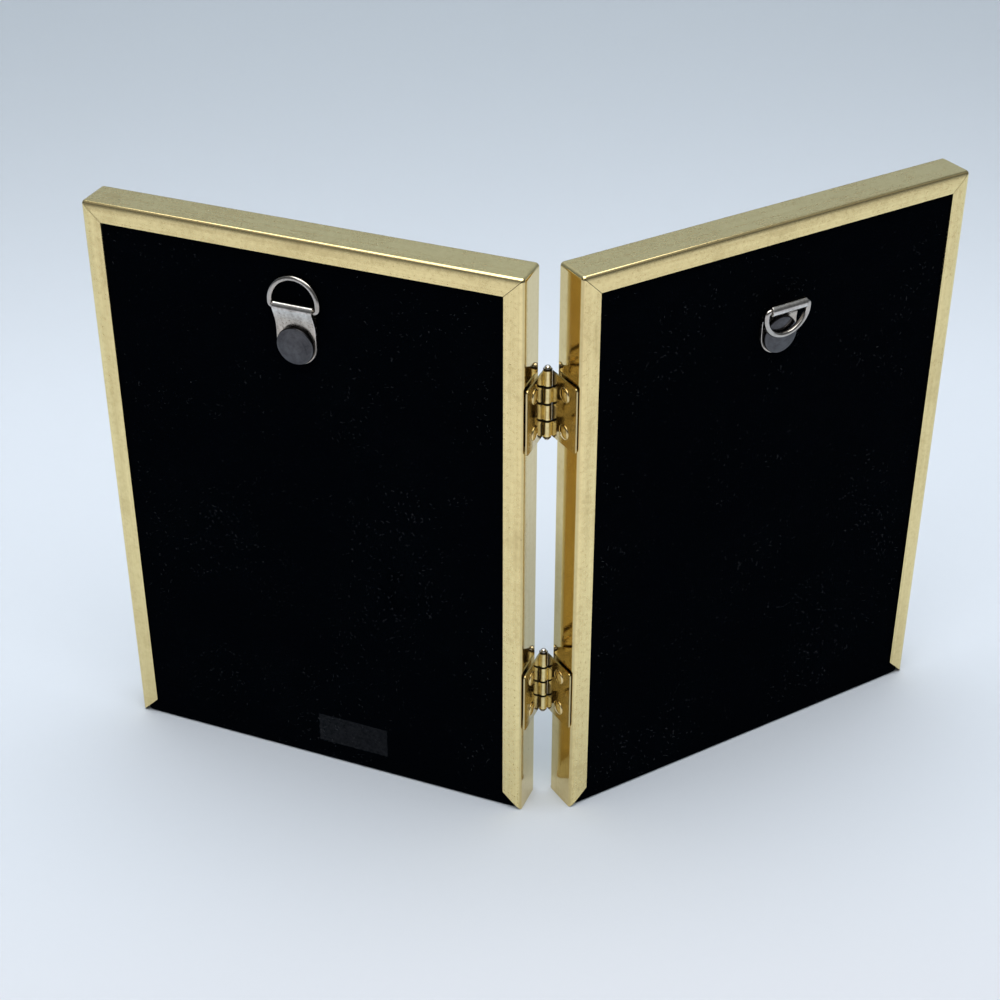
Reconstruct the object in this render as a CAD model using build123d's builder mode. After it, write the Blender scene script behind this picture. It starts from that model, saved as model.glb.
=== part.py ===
"""Hinged double photo frame: two brass channel frames for a 5 x 7 inch print, joined by two butt
hinges and standing open as a V. Each frame has a velvet-covered back that slides out downwards
and carries a strap hanger with a D-ring.

Row frame in millimetres: +Z is up, +Y is the way the prints face, +X is to the right as seen from
the velvet side. The origin is the bottom centre of the whole part as it stands open.
"""

import os
from math import acos, asin, atan2, cos, degrees, radians, sin, sqrt

from build123d import *

os.makedirs("parts", exist_ok=True)

# Print and the room that the channel leaves around it
PRINT_WIDTH = 127.0
PRINT_HEIGHT = 177.8
PRINT_THICKNESS = 0.3
PRINT_SIDE_PLAY = 2.5
PRINT_END_PLAY = 1.5

# Channel strip
SHEET = 0.6
FRAME_DEPTH = 12.1
LIP = 5.9
LIP_BEND = 0.8
FOLD_RADIUS = 1.2
MITRE_GAP = 0.12
MITRE_START = 0.5

# Bottom rail and its turned-up end tabs
TAB_HEIGHT = 9.0
TAB_INSET = 0.5
RAIL_FIT = 0.02

# Glass
GLASS_THICKNESS = 2.0
GLASS_PLAY = 1.0
SEAT_GAP = 0.1

# Sliding back: hardboard wrapped in velvet
BOARD_THICKNESS = 3.0
BOARD_CORNER = 1.0
VELVET = 0.7
VELVET_PRESSED = 0.4
VELVET_ROUND = 0.5
FLAP_WIDTH = 14.0
PANEL_SIDE_PLAY = 1.2
PANEL_TOP_PLAY = 0.8
PANEL_FLOOR_GAP = 0.3
PANEL_CLEARANCE = 0.2

# Butt hinges
OPENING_ANGLE = 127.1
LEAF_THICKNESS = 0.45
LEAF_STANDOFF = 0.5
LEAF_EDGE_INSET = 0.5
LEAF_END_INSET = 0.5
LEAF_CORNER = 1.0
PIN_RADIUS = 0.8
PIN_CLEARANCE = 0.05
PIN_HEAD_RADIUS = 1.05
PIN_HEAD_HEIGHT = 0.9
PIN_END_PLAY = 0.25
AXIS_FORWARD = 1.6
BARREL_HEIGHT = 21.5
KNUCKLES = 4
KNUCKLE_GAP = 0.5
KNUCKLE_RELIEF = 0.1
LOWER_HINGE_HEIGHT = 41.8
UPPER_HINGE_DROP = 43.5

# Leaf rivets, whose shoulders hold the leaves off the walls
LEAF_RIVET_FROM_BACK = 6.3
LEAF_RIVET_FROM_END = 4.45
LEAF_RIVET_HEAD_RADIUS = 2.3
LEAF_RIVET_HEAD_HEIGHT = 0.7
LEAF_RIVET_SHOULDER_RADIUS = 1.7
LEAF_RIVET_SHANK_RADIUS = 1.1
LEAF_RIVET_TAIL_RADIUS = 1.7
LEAF_RIVET_TAIL = 0.5

# Strap hanger and its rivet
LEFT_HANGER_DROP = 32.3
RIGHT_HANGER_DROP = 34.2
LEFT_HANGER_SHIFT = -0.8
RIGHT_HANGER_SHIFT = -0.2
LEFT_STRAP_BEND = 0.0
RIGHT_STRAP_BEND = 32.0
STRAP_WIDTH = 12.2
STRAP_THICKNESS = 0.6
STRAP_LENGTH = 11.5
STRAP_KNEE_GAP = 0.2
STRAP_CROTCH = 0.1
HANGER_HEAD_RADIUS = 5.7
HANGER_HEAD_HEIGHT = 1.4
HANGER_HEAD_DOME = 0.25
HANGER_HEAD_ROUND = 0.35
HANGER_SHANK_RADIUS = 2.0
HANGER_TAIL_RADIUS = 2.9
HANGER_TAIL = 0.6
TAIL_POCKET_PLAY = 0.4
RIVET_FIT = 0.03

# D-ring
RING_WIRE_RADIUS = 0.9
RING_CLEARANCE = 0.1
RING_REACH = 9.9
RING_CORNER = 1.0
RING_STRAP_PLAY = 0.15
RING_REST_GAP = 0.1

# Frame size and the layers inside it, as depths behind the glass-side face
frame_width = PRINT_WIDTH + 2 * (PRINT_SIDE_PLAY + SHEET)
frame_height = PRINT_HEIGHT + 2 * (PRINT_END_PLAY + SHEET)
half_width = frame_width / 2
print_front = SHEET + GLASS_THICKNESS
filler_front = print_front + PRINT_THICKNESS
velvet_face = FRAME_DEPTH - SHEET - PANEL_CLEARANCE
board_back = velvet_face - VELVET
board_front = board_back - BOARD_THICKNESS
flap_front = board_front - VELVET_PRESSED
sill_depth = flap_front - PANEL_CLEARANCE
filler_back = sill_depth - SEAT_GAP
seat_height = SHEET + SEAT_GAP
glass_seat = LIP_BEND + SEAT_GAP

# Sliding back
panel_width = frame_width - 2 * (SHEET + PANEL_SIDE_PLAY)
panel_top = frame_height - SHEET - PANEL_TOP_PLAY
panel_height = panel_top - PANEL_FLOOR_GAP
panel_middle = (panel_top + PANEL_FLOOR_GAP) / 2
board_width = panel_width - 2 * VELVET_PRESSED
board_height = panel_height - 2 * VELVET_PRESSED

# Hinge geometry
barrel_radius = PIN_RADIUS + PIN_CLEARANCE + LEAF_THICKNESS
wall_reach = barrel_radius + LEAF_STANDOFF
leaf_top = LEAF_STANDOFF + LEAF_THICKNESS
leaf_width = AXIS_FORWARD + FRAME_DEPTH - LEAF_EDGE_INSET
leaf_height = BARREL_HEIGHT - 2 * LEAF_END_INSET
leaf_rivet_depth = FRAME_DEPTH - LEAF_RIVET_FROM_BACK
leaf_rivet_pitch = leaf_height - 2 * LEAF_RIVET_FROM_END
hinge_heights = {"lower": LOWER_HINGE_HEIGHT, "upper": frame_height - UPPER_HINGE_DROP}

# Place of the two frames: each is turned by the same angle from one straight line, and the hinge
# axis lies where the whole part is centred on the origin
turn = radians((180.0 - OPENING_ANGLE) / 2)
strip_rear = (wall_reach + LIP_BEND) * sin(turn) - (AXIS_FORWARD + FRAME_DEPTH - LIP_BEND) * cos(turn)
leaf_rear = (barrel_radius - LEAF_THICKNESS) * sin(turn) - leaf_width * cos(turn)
rear_reach = min(strip_rear - LIP_BEND, leaf_rear)
front_reach = (wall_reach + frame_width - LIP_BEND) * sin(turn) - (AXIS_FORWARD + LIP_BEND) * cos(turn)
hinge_axis = Vector(0, -(rear_reach + front_reach + LIP_BEND) / 2, 0)
up = Vector(0, 0, 1)

# Which way the hinge lies along each frame's own x direction
HINGE_SIDE = {"left": 1, "right": -1}


def face_plane(side):
    """Glass-side face of a frame: x across, y up from the table, z towards the velvet side."""
    hand = HINGE_SIDE[side]
    across = Vector(cos(turn), -hand * sin(turn), 0)
    backwards = across.cross(up)
    middle = hinge_axis - across * hand * (half_width + wall_reach) + backwards * AXIS_FORWARD
    return Plane(origin=middle, x_dir=across, z_dir=backwards)


FACE = {side: face_plane(side) for side in HINGE_SIDE}


def section_plane(side, across):
    """Upright section of a frame: x towards the glass side from its face, y up, z across."""
    face = FACE[side]
    return Plane(origin=face.from_local_coords((across, 0, 0)), x_dir=-face.z_dir, z_dir=face.x_dir)


def leaf_rivet_points(side, hinge):
    """The two rivet places of one leaf, in the section plane's own x and y."""
    middle = hinge_heights[hinge]
    return [(-leaf_rivet_depth, middle + step * leaf_rivet_pitch / 2) for step in (-1, 1)]


def dome(base, radius, height):
    """Low dome along x, from its rim down to the axis, for a revolved head."""
    ball = (radius**2 + height**2) / (2 * height)
    middle = base + height - ball
    half_angle = asin(radius / ball) / 2
    crown = (middle + ball * cos(half_angle), ball * sin(half_angle))
    return ThreePointArc((base, radius), crown, (base + height, 0))


def folded_box(side, inset, drop):
    """Rounded box of the folded strip, drawn in by an inset; a drop carries it below the table."""
    face = FACE[side]
    height = frame_height - inset + drop
    with BuildPart() as box:
        with BuildSketch(face.offset(inset)) as outline:
            with Locations((0, height / 2 - drop)):
                Rectangle(frame_width - 2 * inset, height)
            fillet(outline.vertices().group_by(Axis.Y)[-1], FOLD_RADIUS - inset)
        extrude(amount=FRAME_DEPTH - 2 * inset)
        layers = box.faces().filter_by(Axis(face.origin, face.z_dir))
        fillet(layers.edges().filter_by(lambda edge: edge.center().Z > SHEET), LIP_BEND - inset)
    return box.part


def frame_channel(side):
    """Strip folded over both top corners, with lips turned in on the glass and velvet sides."""
    face = FACE[side]
    outside = folded_box(side, 0, 0)
    inside = folded_box(side, SHEET, LIP)
    with BuildPart() as channel:
        add(outside)
        add(inside, mode=Mode.SUBTRACT)
        # Sight opening on both sides, with the lips mitred down to the bottom corners
        with BuildSketch(face, face.offset(FRAME_DEPTH - LIP_BEND)):
            with BuildLine():
                sight = half_width - LIP
                Polyline(
                    (-half_width, 0),
                    (-sight, LIP),
                    (-sight, frame_height - LIP),
                    (sight, frame_height - LIP),
                    (sight, LIP),
                    (half_width, 0),
                    close=True,
                )
            make_face()
        extrude(amount=LIP_BEND, mode=Mode.SUBTRACT)
        # Hairline mitres where the notched lips meet at the folds
        with BuildSketch(face, face.offset(FRAME_DEPTH - SHEET)):
            mitre_length = (LIP - MITRE_START) * sqrt(2) + MITRE_GAP
            mitre_middle = (LIP + MITRE_START) / 2
            for hand in (-1, 1):
                with Locations((hand * (half_width - mitre_middle), frame_height - mitre_middle)):
                    Rectangle(mitre_length, MITRE_GAP, rotation=hand * 45)
        extrude(amount=SHEET, mode=Mode.SUBTRACT)
        # Rivet holes in the wall that carries the hinges
        wall_middle = HINGE_SIDE[side] * (half_width - SHEET / 2)
        with BuildSketch(section_plane(side, wall_middle)):
            for hinge in hinge_heights:
                with Locations(*leaf_rivet_points(side, hinge)):
                    Circle(LEAF_RIVET_SHANK_RADIUS + RIVET_FIT)
        extrude(amount=SHEET, both=True, mode=Mode.SUBTRACT)
    return channel.part


def bottom_rail(side):
    """Angle under the glass: a mitred front lip, a sill behind it and a tab inside each wall."""
    face = FACE[side]
    sill_end = half_width - SHEET - RAIL_FIT
    with BuildPart() as rail:
        with BuildSketch(section_plane(side, -half_width)) as angle:
            with BuildLine():
                Polyline(
                    (0, LIP),
                    (0, 0),
                    (-sill_depth, 0),
                    (-sill_depth, SHEET),
                    (-SHEET, SHEET),
                    (-SHEET, LIP),
                    close=True,
                )
            make_face()
            fillet(angle.vertices().sort_by_distance((0, 0))[0], LIP_BEND)
            fillet(angle.vertices().sort_by_distance((-SHEET, SHEET))[0], LIP_BEND - SHEET)
        extrude(amount=frame_width)
        # Mitres that meet the side lips, then the sill cut back to the bends of its tabs
        with BuildSketch(face):
            with BuildLine():
                foot = MITRE_GAP * sqrt(2) - half_width
                Polyline((foot - LIP, -LIP), (foot + 2 * LIP, 2 * LIP), (foot - LIP, 2 * LIP), close=True)
            make_face()
            mirror(about=Plane.YZ)
        extrude(amount=LIP_BEND, mode=Mode.SUBTRACT)
        with BuildSketch(face.offset(LIP_BEND)):
            with Locations((sill_end - LIP_BEND, SHEET / 2)):
                Rectangle(2 * LIP_BEND + SHEET, 2 * SHEET, align=(Align.MIN, Align.CENTER))
            mirror(about=Plane.YZ)
        extrude(amount=sill_depth, mode=Mode.SUBTRACT)
        with BuildSketch(face.offset(LIP_BEND + TAB_INSET)) as tabs:
            with BuildLine():
                Polyline(
                    (sill_end - 2 * LIP_BEND, 0),
                    (sill_end, 0),
                    (sill_end, TAB_HEIGHT),
                    (sill_end - SHEET, TAB_HEIGHT),
                    (sill_end - SHEET, SHEET),
                    (sill_end - 2 * LIP_BEND, SHEET),
                    close=True,
                )
            make_face()
            fillet(tabs.vertices().sort_by_distance((sill_end, 0))[0], LIP_BEND)
            fillet(tabs.vertices().sort_by_distance((sill_end - SHEET, SHEET))[0], LIP_BEND - SHEET)
            mirror(about=Plane.YZ)
        extrude(amount=sill_depth - LIP_BEND - 2 * TAB_INSET)
    return rail.part


def layer(side, width, bottom, top, front, back):
    """Flat sheet of the stack, given by its width, its two heights and its two depths."""
    with BuildPart() as sheet:
        with BuildSketch(FACE[side].offset(front)):
            with Locations((0, (bottom + top) / 2)):
                Rectangle(width, top - bottom)
        extrude(amount=back - front)
    return sheet.part


def hanger_place(side):
    """Centre of the hanger rivet on a frame: across from its middle, then up from the table."""
    if side == "left":
        return LEFT_HANGER_SHIFT, frame_height - LEFT_HANGER_DROP
    return RIGHT_HANGER_SHIFT, frame_height - RIGHT_HANGER_DROP


def back_board(side):
    """Hardboard of the sliding back, bored for the hanger rivet and pocketed for its tail."""
    face = FACE[side]
    with BuildPart() as board:
        with BuildSketch(face.offset(board_front)):
            with Locations((0, panel_middle)):
                RectangleRounded(board_width, board_height, BOARD_CORNER)
        extrude(amount=BOARD_THICKNESS)
        with BuildSketch(face.offset(board_front)):
            with Locations(hanger_place(side)):
                Circle(HANGER_SHANK_RADIUS + RIVET_FIT)
        extrude(amount=BOARD_THICKNESS, mode=Mode.SUBTRACT)
        with BuildSketch(face.offset(board_front)):
            with Locations(hanger_place(side)):
                Circle(HANGER_TAIL_RADIUS + TAIL_POCKET_PLAY)
        extrude(amount=HANGER_TAIL + TAIL_POCKET_PLAY, mode=Mode.SUBTRACT)
    return board.part


def velvet_cover(side):
    """Velvet over the board's back and edges, with a glued flap turned in on the glass side."""
    face = FACE[side]
    with BuildPart() as cover:
        with BuildSketch(face.offset(flap_front)):
            with Locations((0, panel_middle)):
                RectangleRounded(panel_width, panel_height, BOARD_CORNER + VELVET_PRESSED)
        extrude(amount=velvet_face - flap_front)
        fillet(cover.faces().sort_by(Axis(face.origin, face.z_dir))[-1].edges(), VELVET_ROUND)
        with BuildSketch(face.offset(board_front)):
            with Locations((0, panel_middle)):
                RectangleRounded(board_width, board_height, BOARD_CORNER)
        extrude(amount=BOARD_THICKNESS, mode=Mode.SUBTRACT)
        with BuildSketch(face.offset(flap_front)):
            with Locations((0, panel_middle)):
                Rectangle(board_width - 2 * FLAP_WIDTH, board_height - 2 * FLAP_WIDTH)
        extrude(amount=VELVET_PRESSED, mode=Mode.SUBTRACT)
        with BuildSketch(face.offset(board_back)):
            with Locations(hanger_place(side)):
                Circle(HANGER_SHANK_RADIUS + RIVET_FIT)
        extrude(amount=VELVET, mode=Mode.SUBTRACT)
    return cover.part


# Strap hanger: two legs riveted together, which part at the knee and run on into a loop
loop_inside = RING_WIRE_RADIUS + RING_CLEARANCE
loop_outside = loop_inside + STRAP_THICKNESS
legs_thickness = 2 * STRAP_THICKNESS
knee_rise = HANGER_HEAD_RADIUS + STRAP_KNEE_GAP


def bar_place(side):
    """Axis of the ring's bar from the rivet's foot on the velvet: x off the velvet, y up."""
    bend = LEFT_STRAP_BEND if side == "left" else RIGHT_STRAP_BEND
    lever = Vector(loop_outside, STRAP_LENGTH - knee_rise)
    return Vector(0, knee_rise) + lever.rotate(Axis.Z, -bend)


def hanger_section(side):
    """Upright section through the middle of a hanger: x off the velvet, y up from the rivet."""
    face = FACE[side]
    foot = face.from_local_coords((*hanger_place(side), velvet_face))
    return Plane(origin=foot, x_dir=face.z_dir, z_dir=-face.x_dir)


def teardrop(bar, radius, width):
    """Closed outline of two straight legs from the knee that run tangent into a loop."""
    knee = Vector(STRAP_THICKNESS, knee_rise)
    feet, touches = [], []
    for hand in (-1, 1):
        foot = knee + Vector(hand * width / 2, 0)
        spoke = foot - bar
        swing = degrees(acos(radius / spoke.length))
        feet.append(foot)
        touches.append(bar + spoke.normalized().rotate(Axis.Z, hand * swing) * radius)
    crown = bar + (bar - knee).normalized() * radius
    ThreePointArc(touches[0], crown, touches[1])
    Polyline(touches[1], feet[1], feet[0], touches[0])


def hanger_strap(side):
    """Strap folded round the ring's bar, both legs ending in a round end about the rivet."""
    face = FACE[side]
    bar = bar_place(side)
    with BuildPart() as strap:
        with BuildSketch(hanger_section(side)):
            with BuildLine():
                teardrop(bar, loop_outside, legs_thickness)
            make_face()
            with BuildLine():
                teardrop(bar, loop_inside, STRAP_CROTCH)
            make_face(mode=Mode.SUBTRACT)
            with Locations((0, knee_rise)):
                Rectangle(legs_thickness, knee_rise + STRAP_WIDTH / 2, align=(Align.MIN, Align.MAX))
        extrude(amount=STRAP_WIDTH / 2, both=True)
        with BuildSketch(face.offset(velvet_face)):
            with Locations(hanger_place(side)):
                Circle(STRAP_WIDTH / 2)
                Rectangle(STRAP_WIDTH, 2 * STRAP_LENGTH, align=(Align.CENTER, Align.MIN))
        extrude(amount=2 * STRAP_LENGTH, mode=Mode.INTERSECT)
        with BuildSketch(face.offset(velvet_face)):
            with Locations(hanger_place(side)):
                Circle(HANGER_SHANK_RADIUS + RIVET_FIT)
        extrude(amount=legs_thickness, mode=Mode.SUBTRACT)
    return strap.part


def hanger_rivet(side):
    """Broad flat-headed rivet through strap, velvet and board, spread in the board's pocket."""
    section = hanger_section(side)
    seat = legs_thickness
    rim = seat + HANGER_HEAD_HEIGHT - HANGER_HEAD_DOME
    pocket_floor = board_front + HANGER_TAIL + TAIL_POCKET_PLAY - velvet_face
    with BuildPart() as rivet:
        with BuildSketch(section) as profile:
            with BuildLine():
                Polyline(
                    (rim, HANGER_HEAD_RADIUS),
                    (seat, HANGER_HEAD_RADIUS),
                    (seat, HANGER_SHANK_RADIUS),
                    (pocket_floor, HANGER_SHANK_RADIUS),
                    (pocket_floor, HANGER_TAIL_RADIUS),
                )
                dome(pocket_floor, HANGER_TAIL_RADIUS, -HANGER_TAIL)
                Line((pocket_floor - HANGER_TAIL, 0), (rim + HANGER_HEAD_DOME, 0))
                dome(rim, HANGER_HEAD_RADIUS, HANGER_HEAD_DOME)
            make_face()
            fillet(profile.vertices().sort_by_distance((rim, HANGER_HEAD_RADIUS))[0], HANGER_HEAD_ROUND)
        revolve(axis=Axis(section.origin, section.x_dir))
    return rivet.part


# D-ring: a bar, two tight corners and a bow that is tangent to both
ring_reach = RING_REACH - RING_WIRE_RADIUS
bar_half = STRAP_WIDTH / 2 + RING_STRAP_PLAY
bow_square = bar_half**2 + (ring_reach - RING_CORNER) ** 2 - RING_CORNER**2
bow_radius = bow_square / (2 * (ring_reach - 2 * RING_CORNER))
bow_middle = ring_reach - bow_radius
corner_end = degrees(atan2(RING_CORNER - bow_middle, bar_half))

# Where a ring comes to rest: leaning up against the velvet, or hanging against the rivet head
velvet_stand = RING_WIRE_RADIUS + RING_REST_GAP
head_stand = legs_thickness + HANGER_HEAD_HEIGHT + RING_WIRE_RADIUS + RING_REST_GAP


def ring_lean(side):
    """Angle of a turned-up ring from upright, back towards the velvet."""
    return asin((bar_place(side).X - velvet_stand) / ring_reach)


def ring_hang(side):
    """Angle of a hanging ring from upright, out over the rivet head."""
    return asin((head_stand - bar_place(side).X) / ring_reach)


def hanger_ring(side):
    """Wire D-ring whose bar runs in the loop of the strap; the left one is turned up."""
    face = FACE[side]
    bar = hanger_section(side).from_local_coords(bar_place(side))
    if side == "left":
        reach = up * cos(ring_lean(side)) - face.z_dir * sin(ring_lean(side))
    else:
        reach = face.z_dir * sin(ring_hang(side)) - up * cos(ring_hang(side))
    with BuildPart() as ring:
        with BuildLine(Plane(origin=bar, x_dir=face.x_dir, z_dir=face.x_dir.cross(reach))) as wire:
            Line((-bar_half, 0), (bar_half, 0))
            CenterArc((bar_half, RING_CORNER), RING_CORNER, -90, 90 + corner_end)
            CenterArc((0, bow_middle), bow_radius, corner_end, 180 - 2 * corner_end)
            CenterArc((-bar_half, RING_CORNER), RING_CORNER, 180 - corner_end, 90 + corner_end)
        with BuildSketch(Plane(origin=wire.line @ 0, z_dir=wire.line % 0)):
            Circle(RING_WIRE_RADIUS)
        sweep()
    return ring.part


def hinge_plane(side):
    """Plan of one leaf at the table: x from the hinge axis to the wall, z up."""
    return Plane(origin=hinge_axis, x_dir=-FACE[side].x_dir * HINGE_SIDE[side], z_dir=up)


def hinge_leaf(side, hinge):
    """Leaf rolled into every second knuckle; the left leaf has the top one."""
    face = FACE[side]
    plan = hinge_plane(side)
    to_back = HINGE_SIDE[side]
    pitch = BARREL_HEIGHT / KNUCKLES
    bottom = hinge_heights[hinge] - BARREL_HEIGHT / 2
    missing = range(0, KNUCKLES, 2) if side == "left" else range(1, KNUCKLES, 2)
    with BuildPart() as leaf:
        with BuildSketch(plan.offset(bottom + LEAF_END_INSET)):
            with Locations((barrel_radius - LEAF_THICKNESS / 2, to_back * leaf_width / 2)):
                Rectangle(LEAF_THICKNESS, leaf_width)
        extrude(amount=leaf_height)
        with BuildSketch(plan.offset(bottom)):
            Circle(barrel_radius)
        extrude(amount=BARREL_HEIGHT)
        with BuildSketch(plan.offset(bottom)):
            Circle(PIN_RADIUS + PIN_CLEARANCE)
        extrude(amount=BARREL_HEIGHT, mode=Mode.SUBTRACT)
        for knuckle in missing:
            with BuildSketch(plan.offset(bottom + knuckle * pitch - KNUCKLE_GAP / 2)):
                Circle(barrel_radius + KNUCKLE_RELIEF)
            extrude(amount=pitch + KNUCKLE_GAP, mode=Mode.SUBTRACT)
        free_corners = leaf.edges().filter_by(Axis(face.origin, face.x_dir))
        fillet(free_corners.sort_by(Axis(face.origin, face.z_dir))[-2:], LEAF_CORNER)
        leaf_middle = HINGE_SIDE[side] * (half_width + leaf_top - LEAF_THICKNESS / 2)
        with BuildSketch(section_plane(side, leaf_middle)):
            with Locations(*leaf_rivet_points(side, hinge)):
                Circle(LEAF_RIVET_SHANK_RADIUS + RIVET_FIT)
        extrude(amount=LEAF_THICKNESS, both=True, mode=Mode.SUBTRACT)
    return leaf.part


def hinge_pin(hinge):
    """Pin through the knuckles, with a low dome at each end."""
    half_length = BARREL_HEIGHT / 2 + PIN_END_PLAY
    middle = hinge_axis + up * hinge_heights[hinge]
    with BuildPart() as pin:
        with BuildSketch(Plane(origin=middle, x_dir=up, z_dir=(1, 0, 0))):
            with BuildLine():
                dome(half_length, PIN_HEAD_RADIUS, PIN_HEAD_HEIGHT)
                Polyline(
                    (half_length, PIN_HEAD_RADIUS),
                    (half_length, PIN_RADIUS),
                    (-half_length, PIN_RADIUS),
                    (-half_length, PIN_HEAD_RADIUS),
                )
                dome(-half_length, PIN_HEAD_RADIUS, -PIN_HEAD_HEIGHT)
                Line((-half_length - PIN_HEAD_HEIGHT, 0), (half_length + PIN_HEAD_HEIGHT, 0))
            make_face()
        revolve(axis=Axis(middle, up))
    return pin.part


def leaf_rivet(side, place):
    """Domed rivet that holds a leaf off its wall by a shoulder, spread inside the channel."""
    outwards = FACE[side].x_dir * HINGE_SIDE[side]
    wall = section_plane(side, HINGE_SIDE[side] * half_width).from_local_coords(place)
    with BuildPart() as rivet:
        with BuildSketch(Plane(origin=wall, x_dir=outwards, z_dir=outwards.cross(up))):
            with BuildLine():
                Polyline(
                    (leaf_top, LEAF_RIVET_HEAD_RADIUS),
                    (leaf_top, LEAF_RIVET_SHANK_RADIUS),
                    (LEAF_STANDOFF, LEAF_RIVET_SHANK_RADIUS),
                    (LEAF_STANDOFF, LEAF_RIVET_SHOULDER_RADIUS),
                    (0, LEAF_RIVET_SHOULDER_RADIUS),
                    (0, LEAF_RIVET_SHANK_RADIUS),
                    (-SHEET, LEAF_RIVET_SHANK_RADIUS),
                    (-SHEET, LEAF_RIVET_TAIL_RADIUS),
                )
                dome(-SHEET, LEAF_RIVET_TAIL_RADIUS, -LEAF_RIVET_TAIL)
                Line((-SHEET - LEAF_RIVET_TAIL, 0), (leaf_top + LEAF_RIVET_HEAD_HEIGHT, 0))
                dome(leaf_top, LEAF_RIVET_HEAD_RADIUS, LEAF_RIVET_HEAD_HEIGHT)
            make_face()
        revolve(axis=Axis(wall, outwards))
    return rivet.part


def write(part, node):
    """Label a finished piece and write it as its own file."""
    part.label = node
    export_step(part, f"parts/{node}.step")


for side in HINGE_SIDE:
    write(frame_channel(side), f"{side}_frame_channel")
    write(bottom_rail(side), f"{side}_bottom_rail")
    glass_width = frame_width - 2 * (SHEET + GLASS_PLAY)
    glass_top = frame_height - SHEET - GLASS_PLAY
    write(layer(side, glass_width, glass_seat, glass_top, SHEET, print_front), f"{side}_glass")
    print_top = seat_height + PRINT_HEIGHT
    write(layer(side, PRINT_WIDTH, seat_height, print_top, print_front, filler_front), f"{side}_print_card")
    write(layer(side, PRINT_WIDTH, seat_height, print_top, filler_front, filler_back), f"{side}_filler_pad")
    write(back_board(side), f"{side}_back_board")
    write(velvet_cover(side), f"{side}_velvet_cover")
    write(hanger_strap(side), f"{side}_hanger_strap")
    write(hanger_rivet(side), f"{side}_hanger_rivet")
    write(hanger_ring(side), f"{side}_hanger_ring")

for hinge in hinge_heights:
    write(hinge_pin(hinge), f"{hinge}_hinge_pin")
    for side in HINGE_SIDE:
        write(hinge_leaf(side, hinge), f"{hinge}_hinge_{side}_leaf")
        for count, place in enumerate(leaf_rivet_points(side, hinge), start=1):
            write(leaf_rivet(side, place), f"{hinge}_hinge_{side}_rivet_{count}")
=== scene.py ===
"""Looks of the hinged double picture frame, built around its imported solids.

Meshes are in metres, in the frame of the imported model: +Z is up and +Y is the way the prints face.
Sizes in the classes are in millimetres, and FacePlane turns them into places in that frame.
"""

import logging
import math
from dataclasses import dataclass
from enum import Enum
from typing import Callable, Dict, List, Optional, Sequence, Tuple, Union

import bmesh
import bpy
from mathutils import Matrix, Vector


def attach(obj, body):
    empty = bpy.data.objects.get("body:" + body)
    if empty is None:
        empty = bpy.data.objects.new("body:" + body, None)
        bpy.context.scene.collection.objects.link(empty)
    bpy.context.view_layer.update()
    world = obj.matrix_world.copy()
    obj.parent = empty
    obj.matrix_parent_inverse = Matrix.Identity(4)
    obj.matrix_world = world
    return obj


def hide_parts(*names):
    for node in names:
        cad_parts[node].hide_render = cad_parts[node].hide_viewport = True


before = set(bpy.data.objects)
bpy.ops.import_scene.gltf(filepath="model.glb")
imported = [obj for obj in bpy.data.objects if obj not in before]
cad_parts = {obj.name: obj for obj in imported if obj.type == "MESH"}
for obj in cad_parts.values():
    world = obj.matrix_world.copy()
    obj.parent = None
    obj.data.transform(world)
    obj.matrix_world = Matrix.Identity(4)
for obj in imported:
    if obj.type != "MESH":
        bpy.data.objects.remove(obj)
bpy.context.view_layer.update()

MM = 0.001
QUARTER = 0.5 * math.pi
UP = Vector((0.0, 0.0, 1.0))
MERGE = 1e-7
CREASE = 35.0
# Name of the mesh value that metal finishes read: rubbing on some pieces, painted light and painted
# shade on others.
RUB_AND_LIGHT = "rubbed"
log = logging.getLogger("picture_frame")

BMesh = bmesh.types.BMesh
BMVert = bmesh.types.BMVert
Material = bpy.types.Material
Node = bpy.types.Node
Piece = bpy.types.Object
Socket = bpy.types.NodeSocket
Tree = bpy.types.NodeTree
Quad = Tuple[float, float, float, float]
Colour = Quad
Place = Tuple[float, float, float]
Point = Tuple[float, float]
Value = Union[float, Sequence[float], Socket, "Signal"]


class Side(Enum):
    """The two frames, named as they are seen from the velvet side."""

    LEFT = "left"
    RIGHT = "right"

    @property
    def hand(self) -> int:
        """Sign of the frame's own x at its hinge wall."""
        return 1 if self is Side.LEFT else -1


class Storey(Enum):
    """The two hinges, by their place on the wall."""

    LOWER = "lower"
    UPPER = "upper"


class Grain(Enum):
    """Which way the drawn lines of the metal run on a piece."""

    UPRIGHT = "upright"
    LEVEL = "level"


@dataclass(frozen=True)
class FacePlane:
    """Glass-side face of one frame: x across, height above the table, depth to the velvet side."""

    side: Side
    middle_x: float = 61.9528
    middle_y: float = 5.54075
    turn: float = math.radians(26.45)

    @property
    def across(self) -> Vector:
        """Direction of the frame's own x."""
        return Vector((math.cos(self.turn), -self.side.hand * math.sin(self.turn), 0.0))

    @property
    def back(self) -> Vector:
        """Direction from the glass side to the velvet side."""
        return self.across.cross(UP)

    @property
    def foot(self) -> Vector:
        """Middle of the frame's lower edge on this face, in millimetres."""
        return Vector((-self.side.hand * self.middle_x, self.middle_y, 0.0))

    def at(self, x: float, height: float, depth: float) -> Vector:
        """Place a point of the frame.

        Args:
            x: Distance across from the frame's middle, in millimetres.
            height: Height above the table, in millimetres.
            depth: Distance behind the glass-side face, in millimetres.

        Returns:
            The point in the model's frame, in metres.
        """
        return (self.foot + UP * height + self.across * x + self.back * depth) * MM

    def local(self, point: Vector) -> Place:
        """Read a point back as the frame's own x, height and depth, in metres."""
        way = point - self.foot * MM
        return way.dot(self.across), point.z, way.dot(self.back)


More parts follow.
